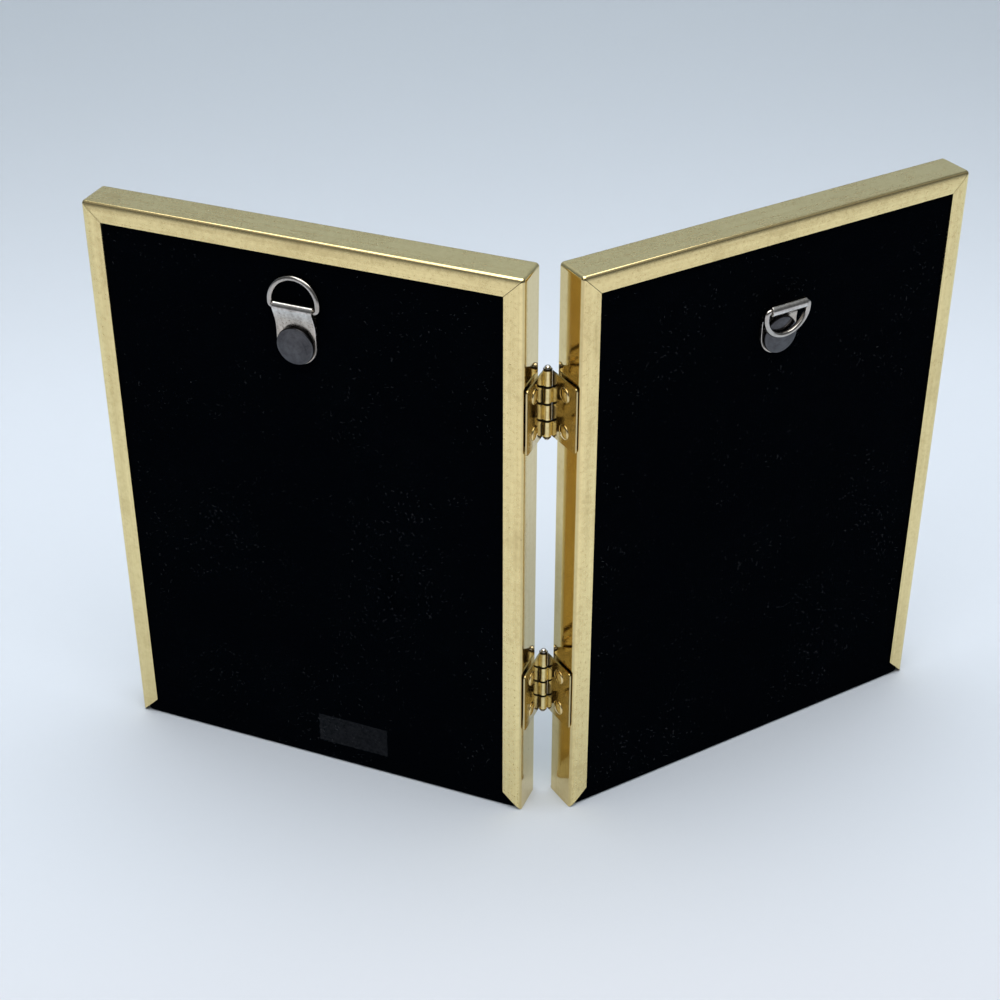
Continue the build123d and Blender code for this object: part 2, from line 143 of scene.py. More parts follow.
def arithmetic(operation: str, turned: bool = False) -> Callable:
    """Make the method of a signal that adds one Math node.

    Args:
        operation: Operation of the node.
        turned: Whether the other value comes first.

    Returns:
        The method.
    """

    def method(signal: "Signal", other: Value) -> "Signal":
        """Put the signal and another value through the operation."""
        pair = (other, signal) if turned else (signal, other)
        return signal.wiring.math(operation, *pair)

    return method


class Signal:
    """What one node gives: sums, products and comparisons of it add Math nodes."""

    __add__ = __radd__ = arithmetic("ADD")
    __mul__ = __rmul__ = arithmetic("MULTIPLY")
    __sub__ = arithmetic("SUBTRACT")
    __rsub__ = arithmetic("SUBTRACT", True)
    __truediv__ = arithmetic("DIVIDE")
    __lt__ = arithmetic("LESS_THAN")
    __gt__ = arithmetic("GREATER_THAN")
    most = arithmetic("MAXIMUM")

    def __init__(self, wiring: "Wiring", socket: Socket) -> None:
        """Take the wiring of the tree and the socket that gives the value."""
        self.wiring = wiring
        self.socket = socket


class Wiring:
    """Short way to add and link the nodes of one tree."""

    def __init__(self, tree: Tree) -> None:
        """Take the tree that the nodes go into."""
        self.tree = tree

    def feed(self, value: Value, entry: Socket) -> None:
        """Link a signal to a node's input, or set the input to a plain value.

        Args:
            value: The signal, socket or plain value.
            entry: The input.
        """
        source = value.socket if isinstance(value, Signal) else value
        if isinstance(source, Socket):
            self.tree.links.new(source, entry)
        else:
            entry.default_value = source

    def add(self, kind: str, inputs: Optional[Dict] = None, **settings) -> Node:
        """Add one node.

        Args:
            kind: Blender's name of the node type.
            inputs: Value or signal for each input, by its name or number.
            settings: Properties of the node.

        Returns:
            The new node.
        """
        node = self.tree.nodes.new(kind)
        for name, setting in settings.items():
            setattr(node, name, setting)
        for key, value in (inputs or {}).items():
            self.feed(value, node.inputs[key])
        return node

    def read(
        self, kind: str, inputs: Optional[Dict] = None, result: Union[int, str] = 0, **settings
    ) -> Signal:
        """Add one node and give one of its results, by its name or number."""
        return Signal(self, self.add(kind, inputs, **settings).outputs[result])

    def math(self, operation: str, first: Value, second: Value = 0.0) -> Signal:
        """Put one or two values through one operation."""
        return self.read("ShaderNodeMath", {0: first, 1: second}, operation=operation)

    def span(
        self, value: Value, low: float, high: float, start: float = 0.0, end: float = 1.0
    ) -> Signal:
        """Carry a value smoothly from one range over to another.

        Args:
            value: What is read.
            low: Reading that gives the start.
            high: Reading that gives the end.
            start: Result at and below the low reading.
            end: Result at and above the high reading.

        Returns:
            The result.
        """
        ends = {0: value, 1: low, 2: high, 3: start, 4: end}
        return self.read("ShaderNodeMapRange", ends, interpolation_type="SMOOTHSTEP")

    def blend(self, share: Value, first: Value, second: Value) -> Signal:
        """Blend two colours by a share from 0, the first, to 1, the second."""
        return self.read("ShaderNodeMix", {0: share, 6: first, 7: second}, 2, data_type="RGBA")

    def noise(self, place: Value, scale: Value, detail: float = 3.0, rough: float = 0.55) -> Signal:
        """Give soft noise from 0 to 1 at a place."""
        inputs = {"Vector": place, "Scale": scale, "Detail": detail, "Roughness": rough}
        return self.read("ShaderNodeTexNoise", inputs)

    def stretch(self, place: Value, scale: Value) -> Signal:
        """Scale a place by its own amount along each axis."""
        return self.read("ShaderNodeVectorMath", {0: place, 1: scale}, operation="MULTIPLY")

    def vector(self, x: Value = 0.0, y: Value = 0.0, z: Value = 0.0) -> Signal:
        """Join x, y and z."""
        return self.read("ShaderNodeCombineXYZ", {0: x, 1: y, 2: z})

    def parts(self, place: Value) -> List[Signal]:
        """Split a place into x, y and z."""
        split = self.add("ShaderNodeSeparateXYZ", {0: place})
        return [Signal(self, part) for part in split.outputs]


class SharedEffects:
    """Node groups that more than one finish uses, each built once."""

    def __init__(self) -> None:
        """Build the groups."""
        self.streaks = self._streaks()
        self.smudges = self._smudges()
        self.specks = self._specks()
        self.fibres = self._fibres()

    @staticmethod
    def _group(name: str, mask: str, **values: float) -> Tuple[Wiring, List[Signal]]:
        """Start a shader group that reads a place and some values and gives one mask.

        Args:
            name: Name of the group.
            mask: Name of the mask.
            values: Default of each value.

        Returns:
            The wiring, and the place and the values inside the group.
        """
        tree = bpy.data.node_groups.new(name, "ShaderNodeTree")
        tree.interface.new_socket("Place", in_out="INPUT", socket_type="NodeSocketVector")
        for key, default in values.items():
            made = tree.interface.new_socket(key, in_out="INPUT", socket_type="NodeSocketFloat")
            made.default_value = default
        tree.interface.new_socket(mask, in_out="OUTPUT", socket_type="NodeSocketFloat")
        wiring = Wiring(tree)
        given = wiring.add("NodeGroupInput").outputs
        return wiring, [Signal(wiring, given[key]) for key in ("Place", *values)]

    @staticmethod
    def _close(mask: Signal) -> Tree:
        """End a group with its mask."""
        mask.wiring.add("NodeGroupOutput", {0: mask})
        return mask.wiring.tree

    def _streaks(self) -> Tree:
        """Lines that rolling and polishing leave along a strip of metal.

        Returns:
            The group.
        """
        values = {"Along": 22.0, "Across": 1500.0}
        wiring, (spot, along, across) = self._group("drawn_streaks", "Streak", **values)
        place = wiring.stretch(spot, wiring.vector(along, across, 1.0))
        broad = wiring.stretch(place, (0.6, 0.22, 1.0))
        coarse = wiring.noise(broad, scale=1.0, detail=2.0)
        fine = wiring.noise(place, scale=1.0, detail=4.0, rough=0.65)
        return self._close(wiring.span(coarse * 0.5 + fine * 0.5, low=0.32, high=0.68))

    def _smudges(self) -> Tree:
        """Soft blotches of handling, tarnish or uneven colour.

        Returns:
            The group.
        """
        wiring, (spot, scale, cover) = self._group("soft_smudges", "Smudge", Scale=90.0, Cover=0.5)
        broad = wiring.noise(spot, scale, detail=3.0, rough=0.6)
        small = wiring.noise(spot, scale * 4.7, detail=2.0)
        cloud = broad * 0.7 + small * 0.3 + (cover - 0.5)
        return self._close(wiring.span(cloud, low=0.38, high=0.66))

    def _specks(self) -> Tree:
        """Sparse small dots: pits in metal, dust and lint on cloth, flecks in board.

        Returns:
            The group.
        """
        values = {"Scale": 700.0, "Share": 0.1, "Size": 0.25}
        wiring, (spot, scale, share, size) = self._group("sparse_specks", "Speck", **values)
        bent = wiring.noise(spot, scale * 1.9, detail=1.0)
        cells = {"Vector": spot, "Scale": scale, "Randomness": 1.0}
        dots = wiring.add("ShaderNodeTexVoronoi", cells).outputs
        chosen = wiring.read("ShaderNodeSeparateColor", {0: dots["Color"]}) < share
        ragged = bent * 0.35 + dots["Distance"]
        return self._close(wiring.span(1.0 - ragged / (size + 0.17), low=0.0, high=0.35) * chosen)

    def _fibres(self) -> Tree:
        """Felted fibres of board and paper, or the lie of a pile.

        Returns:
            The group.
        """
        values = {"Scale": 900.0, "Stretch": 6.0}
        wiring, (spot, scale, stretch) = self._group("felted_fibres", "Fibre", **values)
        warp = wiring.read("ShaderNodeTexNoise", {"Vector": spot, "Scale": 40.0, "Detail": 2.0}, 1)
        turned = {0: warp, 1: (0.02, 0.02, 0.02), 2: spot}
        place = wiring.read("ShaderNodeVectorMath", turned, operation="MULTIPLY_ADD")
        ratio = scale / stretch
        ways = (wiring.vector(scale, ratio, scale), wiring.vector(ratio, scale, scale))
        first, second = (wiring.noise(wiring.stretch(place, way), scale=1.0) for way in ways)
        return self._close(wiring.span(first.most(second), low=0.42, high=0.72))


EFFECTS = SharedEffects()


@dataclass(frozen=True)
class Finish:
    """What every finish shares: a name and a Principled shader with its constant sockets set."""

    name: str

    def start(self, **constants: Union[float, Colour]) -> Tuple[Material, Wiring, Node]:
        """Make the material and its shader.

        Args:
            constants: Values of the shader's sockets, with spaces in their names as underscores.

        Returns:
            The material, the wiring of its tree, and its Principled shader.
        """
        material = bpy.data.materials.new(self.name)
        material.use_nodes = True
        shader = material.node_tree.nodes["Principled BSDF"]
        for key, value in constants.items():
            shader.inputs[key.replace("_", " ")].default_value = value
        return material, Wiring(material.node_tree), shader

    @staticmethod
    def places(wiring: Wiring) -> Tuple[Signal, Signal]:
        """Object coordinates, and the piece's own UV map."""
        outputs = wiring.add("ShaderNodeTexCoord").outputs
        return Signal(wiring, outputs["Object"]), Signal(wiring, outputs["UV"])

    @staticmethod
    def effect(group: Tree, place: Signal, **values: float) -> Signal:
        """Place one shared effect in a material with its own values and give its mask."""
        return place.wiring.read("ShaderNodeGroup", {"Place": place, **values}, node_tree=group)

    @staticmethod
    def cover(shader: Node, colour: Signal, rough: Signal, height: Signal, rise: float) -> None:
        """Link colour, roughness and relief to the shader.

        Args:
            shader: The Principled shader of the material.
            colour: Colour over the surface.
            rough: Roughness over the surface.
            height: Relief from 0 to 1.
            rise: Height of the relief in metres.
        """
        wiring = colour.wiring
        bump = wiring.read("ShaderNodeBump", {"Height": height, "Distance": rise, "Strength": 1.0})
        for key, value in {"Base Color": colour, "Roughness": rough, "Normal": bump}.items():
            wiring.feed(value, shader.inputs[key])

    @staticmethod
    def pass_light(shader: Node, where: Signal, tint: Colour) -> None:
        """Make a surface clear to the rays that a mask picks out.

        Args:
            shader: The Principled shader of the material.
            where: Mask of the rays, from 0 to 1.
            tint: Colour that the surface gives them.
        """
        wiring = where.wiring
        clear = wiring.read("ShaderNodeBsdfTransparent", {"Color": tint})
        both = wiring.read("ShaderNodeMixShader", {0: where, 1: shader.outputs[0], 2: clear})
        wiring.feed(both, wiring.tree.nodes["Material Output"].inputs["Surface"])


@dataclass(frozen=True)
class MetalFinish(Finish):
    """Polished or plated metal, with drawn lines, handling marks, small pits, places that show
    rubbing, and painted light and painted shade that the mesh gives.
    """

    colour: Colour = (0.742, 0.608, 0.304, 1.0)
    tarnish: Colour = (0.55, 0.41, 0.175, 1.0)
    # Colour of pits, and of painted shade where the mesh's value falls below zero, as on pin rods,
    # rivet sides and beside the knuckles.
    pit_and_shade: Colour = (0.24, 0.15, 0.05, 1.0)
    # Lighter copy of the colour: painted light on the frame strip and the broad rivet's rim, rubbing
    # on other pieces.
    rubbed: Colour = (0.985, 0.825, 0.415, 1.0)
    smooth: float = 0.045
    satin: float = 0.13
    rubbed_rough: float = 0.23
    along: float = 14.0
    across: float = 1300.0
    streaking: float = 0.32
    smudging: float = 0.25
    smudge_scale: float = 60.0
    smudge_cover: float = 0.44
    mottling: float = 0.26
    mottle_scale: float = 800.0
    mottle_cover: float = 0.46
    pitting: float = 0.03
    pit_size: float = 0.16
    pit_scale: float = 620.0
    pit_depth: float = 0.8
    satin_shade: float = 0.6
    rise: float = 0.000001

    def wear_and_light(self, spot: Signal) -> Signal:
        """Read the mesh's value, from -1 where shade is painted to 1 for places that show rubbing
        and for painted light.
        """
        return spot.wiring.read("ShaderNodeAttribute", result="Fac", attribute_name=RUB_AND_LIGHT)

    def material(self) -> Material:
        """Build the metal's material.

        Returns:
            The new material.
        """
        material, wiring, shader = self.start(Metallic=1.0)
        spot, strip = self.places(wiring)
        wear_and_light = self.wear_and_light(spot)
        worn = wear_and_light.most(0.0)
        streak = self.effect(EFFECTS.streaks, strip, Along=self.along, Across=self.across)
        handling = {"Scale": self.smudge_scale, "Cover": self.smudge_cover}
        smudge = self.effect(EFFECTS.smudges, spot, **handling)
        spotting = {"Scale": self.mottle_scale, "Cover": self.mottle_cover}
        mottle = self.effect(EFFECTS.smudges, spot, **spotting)
        pits = {"Scale": self.pit_scale, "Share": self.pitting, "Size": self.pit_size}
        speck = self.effect(EFFECTS.specks, spot, **pits)
        shade = streak * self.streaking + smudge * self.smudging + mottle * self.mottling
        # Above zero the value blends toward the lighter copy, which is rubbing and painted light;
        # below zero it blends toward the pit colour as painted shade.
        colour = wiring.blend(shade, wiring.blend(worn, self.colour, self.rubbed), self.tarnish)
        pit_and_shade_mask = (speck * self.pit_depth).most(wear_and_light * -1.0)
        colour = wiring.blend(pit_and_shade_mask, colour, self.pit_and_shade)
        rough = wiring.span(shade, 0.0, self.satin_shade, self.smooth, self.satin)
        rough = worn * (self.rubbed_rough - self.smooth) + rough
        self.cover(shader, colour, rough, streak - speck * self.pit_depth, self.rise)
        return material


@dataclass(frozen=True)
class LeafFinish(MetalFinish):
    """Metal of one hinge leaf: bright knuckles, painted shade on the plate beside the other leaf's
    knuckles, and painted shade at the ends of each knuckle where the gaps are.
    """

    side: Side = Side.LEFT
    axis_y: float = -23.493
    barrel: float = 1.35
    barrel_edge: float = 0.08
    # Painted shade on the plate beside the other leaf's knuckles, out to these distances from the
    # axis.
    gap_shade_start: float = 2.4
    gap_shade_end: float = 4.0
    # Painted shade on the ends of the knuckles, at the gaps between them.
    joint_shade_width: float = 0.085
    joint_shade_edge: float = 0.02
    joint_shade_depth: float = 1.9
    foot: float = 31.05
    pitch: float = 5.375
    brightness: float = 0.75

    def wear_and_light(self, spot: Signal) -> Signal:
        """Give the leaf's rubbing and painted shade, by the distance from the hinge's axis and the
        knuckle there.

        Args:
            spot: Place on the leaf.

        Returns:
            The value, from -1 where shade is painted to 1 where it is bright.
        """
        wiring = spot.wiring
        x, y, z = wiring.parts(spot)
        off = y - self.axis_y * MM
        away = wiring.math("SQRT", x * x + off * off)
        rim = self.barrel + self.barrel_edge
        knuckle = wiring.span(away, self.barrel * MM, rim * MM, self.brightness, 0.0)
        # Painted shade on the plate where the other leaf's knuckles stand.
        near = wiring.span(away, self.gap_shade_start * MM, self.gap_shade_end * MM, 1.0, 0.0)
        count = (z - self.foot * MM) / (self.pitch * MM)
        storey = wiring.math("FRACT", count * 0.5)
        gap = storey < 0.5 if self.side is Side.LEFT else storey > 0.5
        plate = knuckle < 0.01
        # Painted shade at the ends of each knuckle, where the gaps between knuckles are.
        end = wiring.math("ABSOLUTE", wiring.math("FRACT", count) - 0.5)
        joint_shade_from = 0.5 - self.joint_shade_width
        joint_shade = wiring.span(end, joint_shade_from, joint_shade_from + self.joint_shade_edge) * (1.0 - plate)
        return knuckle - (near * gap * plate).most(joint_shade * self.joint_shade_depth)


@dataclass(frozen=True)
class VelvetFinish(Finish):
    """Short black pile with lint, uneven lie, and a crushed patch where it is given."""

    colour: Colour = (0.0009, 0.0015, 0.0026, 1.0)
    brushed: Colour = (0.0020, 0.0029, 0.0043, 1.0)
    lint: Colour = (0.030, 0.032, 0.036, 1.0)
    worn: Colour = (0.020, 0.0215, 0.0245, 1.0)
    sheen: Colour = (0.75, 0.8, 1.0, 1.0)
    patch: Optional[Quad] = None
    patch_edge: float = 0.2
    patch_wobble: float = 1.2
    dust_show: float = 0.45
    rise: float = 0.00012

    def _patch(self, place: Signal, wobble: Signal) -> Signal:
        """Mask of the crushed rectangle, with a slightly ragged outline.

        Args:
            place: Place on the cloth's map.
            wobble: Noise that makes the outline ragged.

        Returns:
            The mask.
        """
        wiring, edge = place.wiring, self.patch_edge * MM
        left, bottom, right, top = (size * MM for size in self.patch)
        ragged = (wobble - 0.5) * (self.patch_wobble * MM)
        inside = 1.0
        for reading, low, high in zip(wiring.parts(place), (left, bottom), (right, top)):
            moved = reading + ragged
            rising = wiring.span(moved, low - edge, low + edge)
            inside = rising * wiring.span(moved, high - edge, high + edge, 1.0, 0.0) * inside
        return inside

    def material(self) -> Material:
        """Build the velvet's material.

        Returns:
            The new material.
        """
        constants = {"Sheen_Weight": 0.004, "Sheen_Roughness": 0.4, "Sheen_Tint": self.sheen}
        material, wiring, shader = self.start(Specular_IOR_Level=0.0, **constants)
        spot, strip = self.places(wiring)
        lie = self.effect(EFFECTS.smudges, spot, Scale=34.0, Cover=0.42)
        pile = self.effect(EFFECTS.fibres, spot, Scale=2600.0, Stretch=2.0)
        dust = self.effect(EFFECTS.specks, spot, Scale=420.0, Share=0.10, Size=0.14)
        colour = wiring.blend(lie * pile, self.colour, self.brushed)
        colour = wiring.blend(dust * self.dust_show, colour, self.lint)
        if self.patch:
            mottle = wiring.noise(spot, scale=900.0, detail=4.0, rough=0.7)
            uneven = wiring.span(mottle, low=0.25, high=0.7, start=0.35)
            colour = wiring.blend(self._patch(strip, mottle) * uneven, colour, self.worn)
        self.cover(shader, colour, wiring.span(pile, 0.0, 1.0, start=0.85), pile, self.rise)
        return material


@dataclass(frozen=True)
class BoardFinish(Finish):
    """Pressed board, kraft card or paper: felted fibres, flecks and uneven tone."""

    colour: Colour = (0.20, 0.115, 0.06, 1.0)
    fibre: Colour = (0.33, 0.21, 0.12, 1.0)
    fleck: Colour = (0.09, 0.05, 0.028, 1.0)
    scale: float = 900.0
    rough_low: float = 0.55
    rough_high: float = 0.85
    tone_share: float = 0.35
    fibre_share: float = 0.65
    fleck_scale: float = 0.6
    fleck_show: float = 0.6
    rise: float = 0.00003

    def material(self) -> Material:
        """Build the board's material.

        Returns:
            The new material.
        """
        material, wiring, shader = self.start(Specular_IOR_Level=0.3)
        spot, _ = self.places(wiring)
        fibre = self.effect(EFFECTS.fibres, spot, Scale=self.scale, Stretch=7.0)
        tone = self.effect(EFFECTS.smudges, spot, Scale=28.0, Cover=0.5)
        flecks = {"Scale": self.scale * self.fleck_scale, "Share": 0.12, "Size": 0.22}
        fleck = self.effect(EFFECTS.specks, spot, **flecks)
        shade = tone * self.tone_share + fibre * self.fibre_share
        colour = wiring.blend(shade, self.colour, self.fibre)
        colour = wiring.blend(fleck * self.fleck_show, colour, self.fleck)
        rough = wiring.span(fibre, 0.0, 1.0, self.rough_low, self.rough_high)
        self.cover(shader, colour, rough, fibre, self.rise)
        return material


@dataclass(frozen=True)
class GlassFinish(Finish):
    """Clear float glass with a trace of dust and wiping marks."""

    colour: Colour = (0.965, 0.985, 0.975, 1.0)
    through: Colour = (0.93, 0.965, 0.95, 1.0)
    wipe_show: float = 0.25
    film_rough: float = 0.14

    def material(self) -> Material:
        """Build the glass's material.

        Returns:
            The new material.
        """
        clear = {"Base_Color": self.colour, "Transmission_Weight": 1.0, "IOR": 1.5, "Metallic": 0.0}
        material, wiring, shader = self.start(**clear)
        spot, _ = self.places(wiring)
        wipe = self.effect(EFFECTS.smudges, spot, Scale=18.0, Cover=0.36)
        dust = self.effect(EFFECTS.specks, spot, Scale=260.0, Share=0.05, Size=0.07)
        film = wiring.span(wipe * self.wipe_show + dust, 0.0, 1.0, end=self.film_rough)
        wiring.feed(film, shader.inputs["Roughness"])
        rays = wiring.add("ShaderNodeLightPath").outputs
        passing = wiring.math("MAXIMUM", rays["Is Shadow Ray"], rays["Is Diffuse Ray"])
        self.pass_light(shader, passing, self.through)
        return material


@dataclass(frozen=True)
class PaperSweepFinish(Finish):
    """Pale paper under and behind the frame, clear when seen from its back, its colour painted
    darker toward the back and up the sweep and slightly darker and less blue at the front, as
    painted shade.
    """

    # Painted shade: slightly darker and less blue toward the front.
    front: Colour = (0.75, 0.755, 0.80, 1.0)
    near: Colour = (0.735, 0.79, 0.86, 1.0)
    # Painted shade: the paper darkens toward this colour toward the back and up the sweep.
    far: Colour = (0.46, 0.515, 0.57, 1.0)
    front_start: float = -0.24
    front_end: float = -0.02
    fade_start: float = 0.20
    fade_end: float = 0.52
    unevenness: float = 0.03
    behind: Colour = (1.0, 1.0, 1.0, 1.0)

    def material(self) -> Material:
        """Build the paper's material.

        Returns:
            The new material.
        """
        material, wiring, shader = self.start(Roughness=0.9, Specular_IOR_Level=0.15)
        spot, _ = self.places(wiring)
        away = wiring.parts(spot)[1]
        tone = wiring.noise(spot, scale=400.0, detail=2.0) * self.unevenness
        share = tone + wiring.span(away, self.fade_start, self.fade_end)
        nearby = wiring.span(away, self.front_start, self.front_end)
        close = wiring.blend(nearby, self.front, self.near)
        wiring.feed(wiring.blend(share, close, self.far), shader.inputs["Base Color"])
        reverse = wiring.read("ShaderNodeNewGeometry", result="Backfacing")
        self.pass_light(shader, reverse, self.behind)
        return material


class Finishes:
    """The materials of the object, one for each finish."""

    def __init__(self) -> None:
        """Build every material once."""
        self.strip_brass = MetalFinish("strip_brass").material()
        self.leaf_brass = {
            side: LeafFinish(
                f"{side.value}_leaf_brass", side=side,
                colour=(0.64, 0.53, 0.285, 1.0), tarnish=(0.40, 0.315, 0.15, 1.0),
                pit_and_shade=(0.075, 0.05, 0.022, 1.0),
                smooth=0.06, satin=0.20, rubbed_rough=0.10,
                along=60.0, streaking=0.2, smudging=0.35, mottling=0.35,
            ).material()
            for side in Side
        }
        self.rivet_brass = MetalFinish(
            "rivet_brass", colour=(0.80, 0.65, 0.34, 1.0), tarnish=(0.48, 0.36, 0.16, 1.0),
            smooth=0.06, satin=0.16, streaking=0.1, smudging=0.35, mottling=0.35,
        ).material()
        self.nickel = MetalFinish(
            "plated_nickel", colour=(0.56, 0.53, 0.49, 1.0), tarnish=(0.27, 0.25, 0.225, 1.0),
            pit_and_shade=(0.03, 0.028, 0.026, 1.0), rubbed=(0.74, 0.71, 0.67, 1.0),
            smooth=0.04, satin=0.13, rubbed_rough=0.08,
            along=80.0, streaking=0.25, smudging=0.3, mottling=0.4, mottle_scale=1500.0,
        ).material()
        self.strap_nickel = MetalFinish(
            "brushed_strap_nickel",
            colour=(0.60, 0.535, 0.465, 1.0), tarnish=(0.22, 0.195, 0.17, 1.0),
            pit_and_shade=(0.06, 0.054, 0.048, 1.0), rubbed=(0.80, 0.78, 0.745, 1.0),
            smooth=0.17, satin=0.30, rubbed_rough=0.05, along=120.0, across=2600.0,
            streaking=0.3, smudging=0.3, mottling=0.45, mottle_scale=1300.0, pitting=0.12,
        ).material()
        self.gunmetal = MetalFinish(
            "dark_rivet_steel",
            colour=(0.108, 0.109, 0.115, 1.0), tarnish=(0.038, 0.038, 0.042, 1.0),
            pit_and_shade=(0.010, 0.010, 0.011, 1.0), rubbed=(0.34, 0.34, 0.35, 1.0),
            smooth=0.10, satin=0.24, rubbed_rough=0.16, along=120.0, across=900.0,
            streaking=0.45, smudging=0.45, mottling=0.3, mottle_scale=900.0,
        ).material()
        self.velvet = {
            Side.LEFT: VelvetFinish("black_velvet_left", patch=(-1.8, 7.0, 21.6, 17.4)).material(),
            Side.RIGHT: VelvetFinish("black_velvet_right").material(),
        }
        self.lint = BoardFinish(
            "lint_fibre", colour=(0.105, 0.11, 0.12, 1.0), fibre=(0.25, 0.257, 0.272, 1.0),
            fleck=(0.06, 0.06, 0.066, 1.0),
        ).material()
        self.hardboard = BoardFinish("hardboard").material()
        self.kraft = BoardFinish(
            "kraft_board", colour=(0.40, 0.27, 0.15, 1.0), fibre=(0.52, 0.38, 0.23, 1.0),
            fleck=(0.22, 0.14, 0.07, 1.0), scale=600.0,
        ).material()
        self.card = BoardFinish(
            "print_card", colour=(0.74, 0.73, 0.69, 1.0), fibre=(0.80, 0.79, 0.76, 1.0),
            fleck=(0.62, 0.60, 0.55, 1.0), scale=1300.0, rise=0.00001,
        ).material()
        self.glass = GlassFinish("float_glass").material()
        self.paper = PaperSweepFinish("paper_sweep").material()


def sweep(start: float, end: float, steps: int) -> List[float]:
    """Even steps from one value to another, both among them."""
    return [start + (end - start) * step / steps for step in range(steps + 1)]


def between(first: Point, second: Point, share: float) -> Point:
    """Point at a share of the way from one to another."""
    return first[0] + (second[0] - first[0]) * share, first[1] + (second[1] - first[1]) * share


def lengths(points: Sequence[Sequence[float]]) -> List[float]:
    """Measure along a line.

    Args:
        points: Points of the line.

    Returns:
        Distance from the first point to each of them.
    """
    run = [0.0]
    for first, second in zip(points, points[1:]):
        run.append(run[-1] + math.dist(first, second))
    return run


def skin(bm: BMesh, rows: Sequence[Sequence[BMVert]], closed: bool = False) -> None:
    """Lay faces between rows of points.

    Args:
        bm: The mesh.
        rows: Rows with as many points each.
        closed: Whether each row is a ring.
    """
    for lower, upper in zip(rows, rows[1:]):
        for column in range(len(lower) if closed else len(lower) - 1):
            after = (column + 1) % len(lower)
            bm.faces.new((lower[column], lower[after], upper[after], upper[column]))


def map_faces(bm: BMesh, where: Callable[[BMVert], Point]) -> None:
    """Give every corner of a mesh its place on the map.

    Args:
        bm: The mesh.
        where: Gives the place of a point, in metres.
    """
    layer = bm.loops.layers.uv.verify()
    for face in bm.faces:
        for loop in face.loops:
            loop[layer].uv = where(loop.vert)


def ease_seams(bm: BMesh, crease: float = CREASE) -> None:
    """Merge a mesh's doubles, turn its faces outwards and keep only its real edges sharp.

    Args:
        bm: The mesh.
        crease: Angle in degrees above which an edge stays sharp.
    """
    bmesh.ops.remove_doubles(bm, verts=bm.verts[:], dist=MERGE)
    bmesh.ops.dissolve_degenerate(bm, edges=bm.edges[:], dist=MERGE)
    bmesh.ops.recalc_face_normals(bm, faces=bm.faces[:])
    for face in bm.faces:
        face.smooth = True
    for edge in bm.edges:
        edge.smooth = edge.is_manifold and edge.calc_face_angle(0.0) < math.radians(crease)


def new_piece(name: str, data: bpy.types.ID) -> Piece:
    """Put a mesh, a lamp or a camera into the scene, at the origin.

    Args:
        name: Name of the object.
        data: What it holds.

    Returns:
        The new object.
    """
    piece = bpy.data.objects.new(name, data)
    bpy.context.scene.collection.objects.link(piece)
    return piece


def keep_mesh(name: str, bm: BMesh, material: Material, even: bool = False) -> Piece:
    """Write a mesh into a new piece.

    Args:
        name: Name of the piece.
        bm: The mesh, which is freed.
        material: Material of the piece.
        even: Whether its broad flats are shaded evenly up to its rounded edges.

    Returns:
        The new piece.
    """
    mesh = bpy.data.meshes.new(name)
    bm.to_mesh(mesh)
    bm.free()
    mesh.materials.append(material)
    piece = new_piece(name, mesh)
    if even:
        flats = piece.modifiers.new("even_flats", "WEIGHTED_NORMAL")
        flats.mode = "FACE_AREA"
        flats.keep_sharp = True
    return piece


def settle(piece: Piece, body: str, slot: str, *nodes: str) -> None:
    """Make a piece ride on its body and stand for its solids.

    Args:
        piece: The piece.
        body: Body that it moves with.
        slot: Its material slot in the part; not used.
        nodes: Solids that it replaces, if any.
    """
    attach(piece, body)
    if nodes:
        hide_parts(*nodes)
    log.info("%s rides on %s", piece.name, body)


@dataclass
class SolidCopy:
    """Copy of a solid's mesh with its seams merged and its outer edges eased."""

    node: str
    side: Side
    ease: float
    grain: Grain = Grain.UPRIGHT
    flat_limit: float = 0.4
    ease_parts: int = 2

    def _strip(self, vert: BMVert) -> Point:
        """Place of a point on the map, along the drawn lines and across them."""
        x, height, depth = FacePlane(self.side).local(vert.co)
        return (height, x + depth) if self.grain is Grain.UPRIGHT else (x, height + depth)

    def build(self, name: str, material: Material) -> Piece:
        """Build the copy.

        Args:
            name: Name of the new piece.
            material: Its material.

        Returns:
            The new piece.
        """
        bm = bmesh.new()
        bm.from_mesh(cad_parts[self.node].data)
        bmesh.ops.remove_doubles(bm, verts=bm.verts[:], dist=MERGE)
        flat = math.radians(self.flat_limit)
        bmesh.ops.dissolve_limit(bm, angle_limit=flat, verts=bm.verts[:], edges=bm.edges[:])
        limit = math.radians(CREASE)
        whole = [edge for edge in bm.edges if edge.is_manifold]
        sharp = [edge for edge in whole if edge.calc_face_angle_signed(0.0) > limit]
        shape = {"offset_type": "OFFSET", "affect": "EDGES", "clamp_overlap": True}
        shape.update(offset=self.ease * MM, segments=self.ease_parts, profile=0.5)
        bmesh.ops.bevel(bm, geom=sharp, **shape)
        ease_seams(bm)
        map_faces(bm, self._strip)
        return keep_mesh(name, bm, material, even=True)


def dome_line(
    base: float, radius: float, height: float, worn: float = 0.0, steps: int = 10
) -> List[Place]:
    """Line of a low dome, from its top on the axis down to its rim.

    Args:
        base: Distance of the rim along the axis, in millimetres.
        radius: Radius of the rim.
        height: Rise of the dome, below zero for one that points the other way.
        worn: Its value of rubbing, painted light and painted shade.
        steps: Parts of the line.

    Returns:
        Points for turned_mesh.
    """
    ball = (radius**2 + height**2) / (2.0 * abs(height))
    points = []
    for angle in sweep(0.0, math.asin(radius / ball), steps):
        fall = ball * (1.0 - math.cos(angle))
        along = base + math.copysign(abs(height) - fall, height)
        points.append((along, ball * math.sin(angle), worn))
    return points


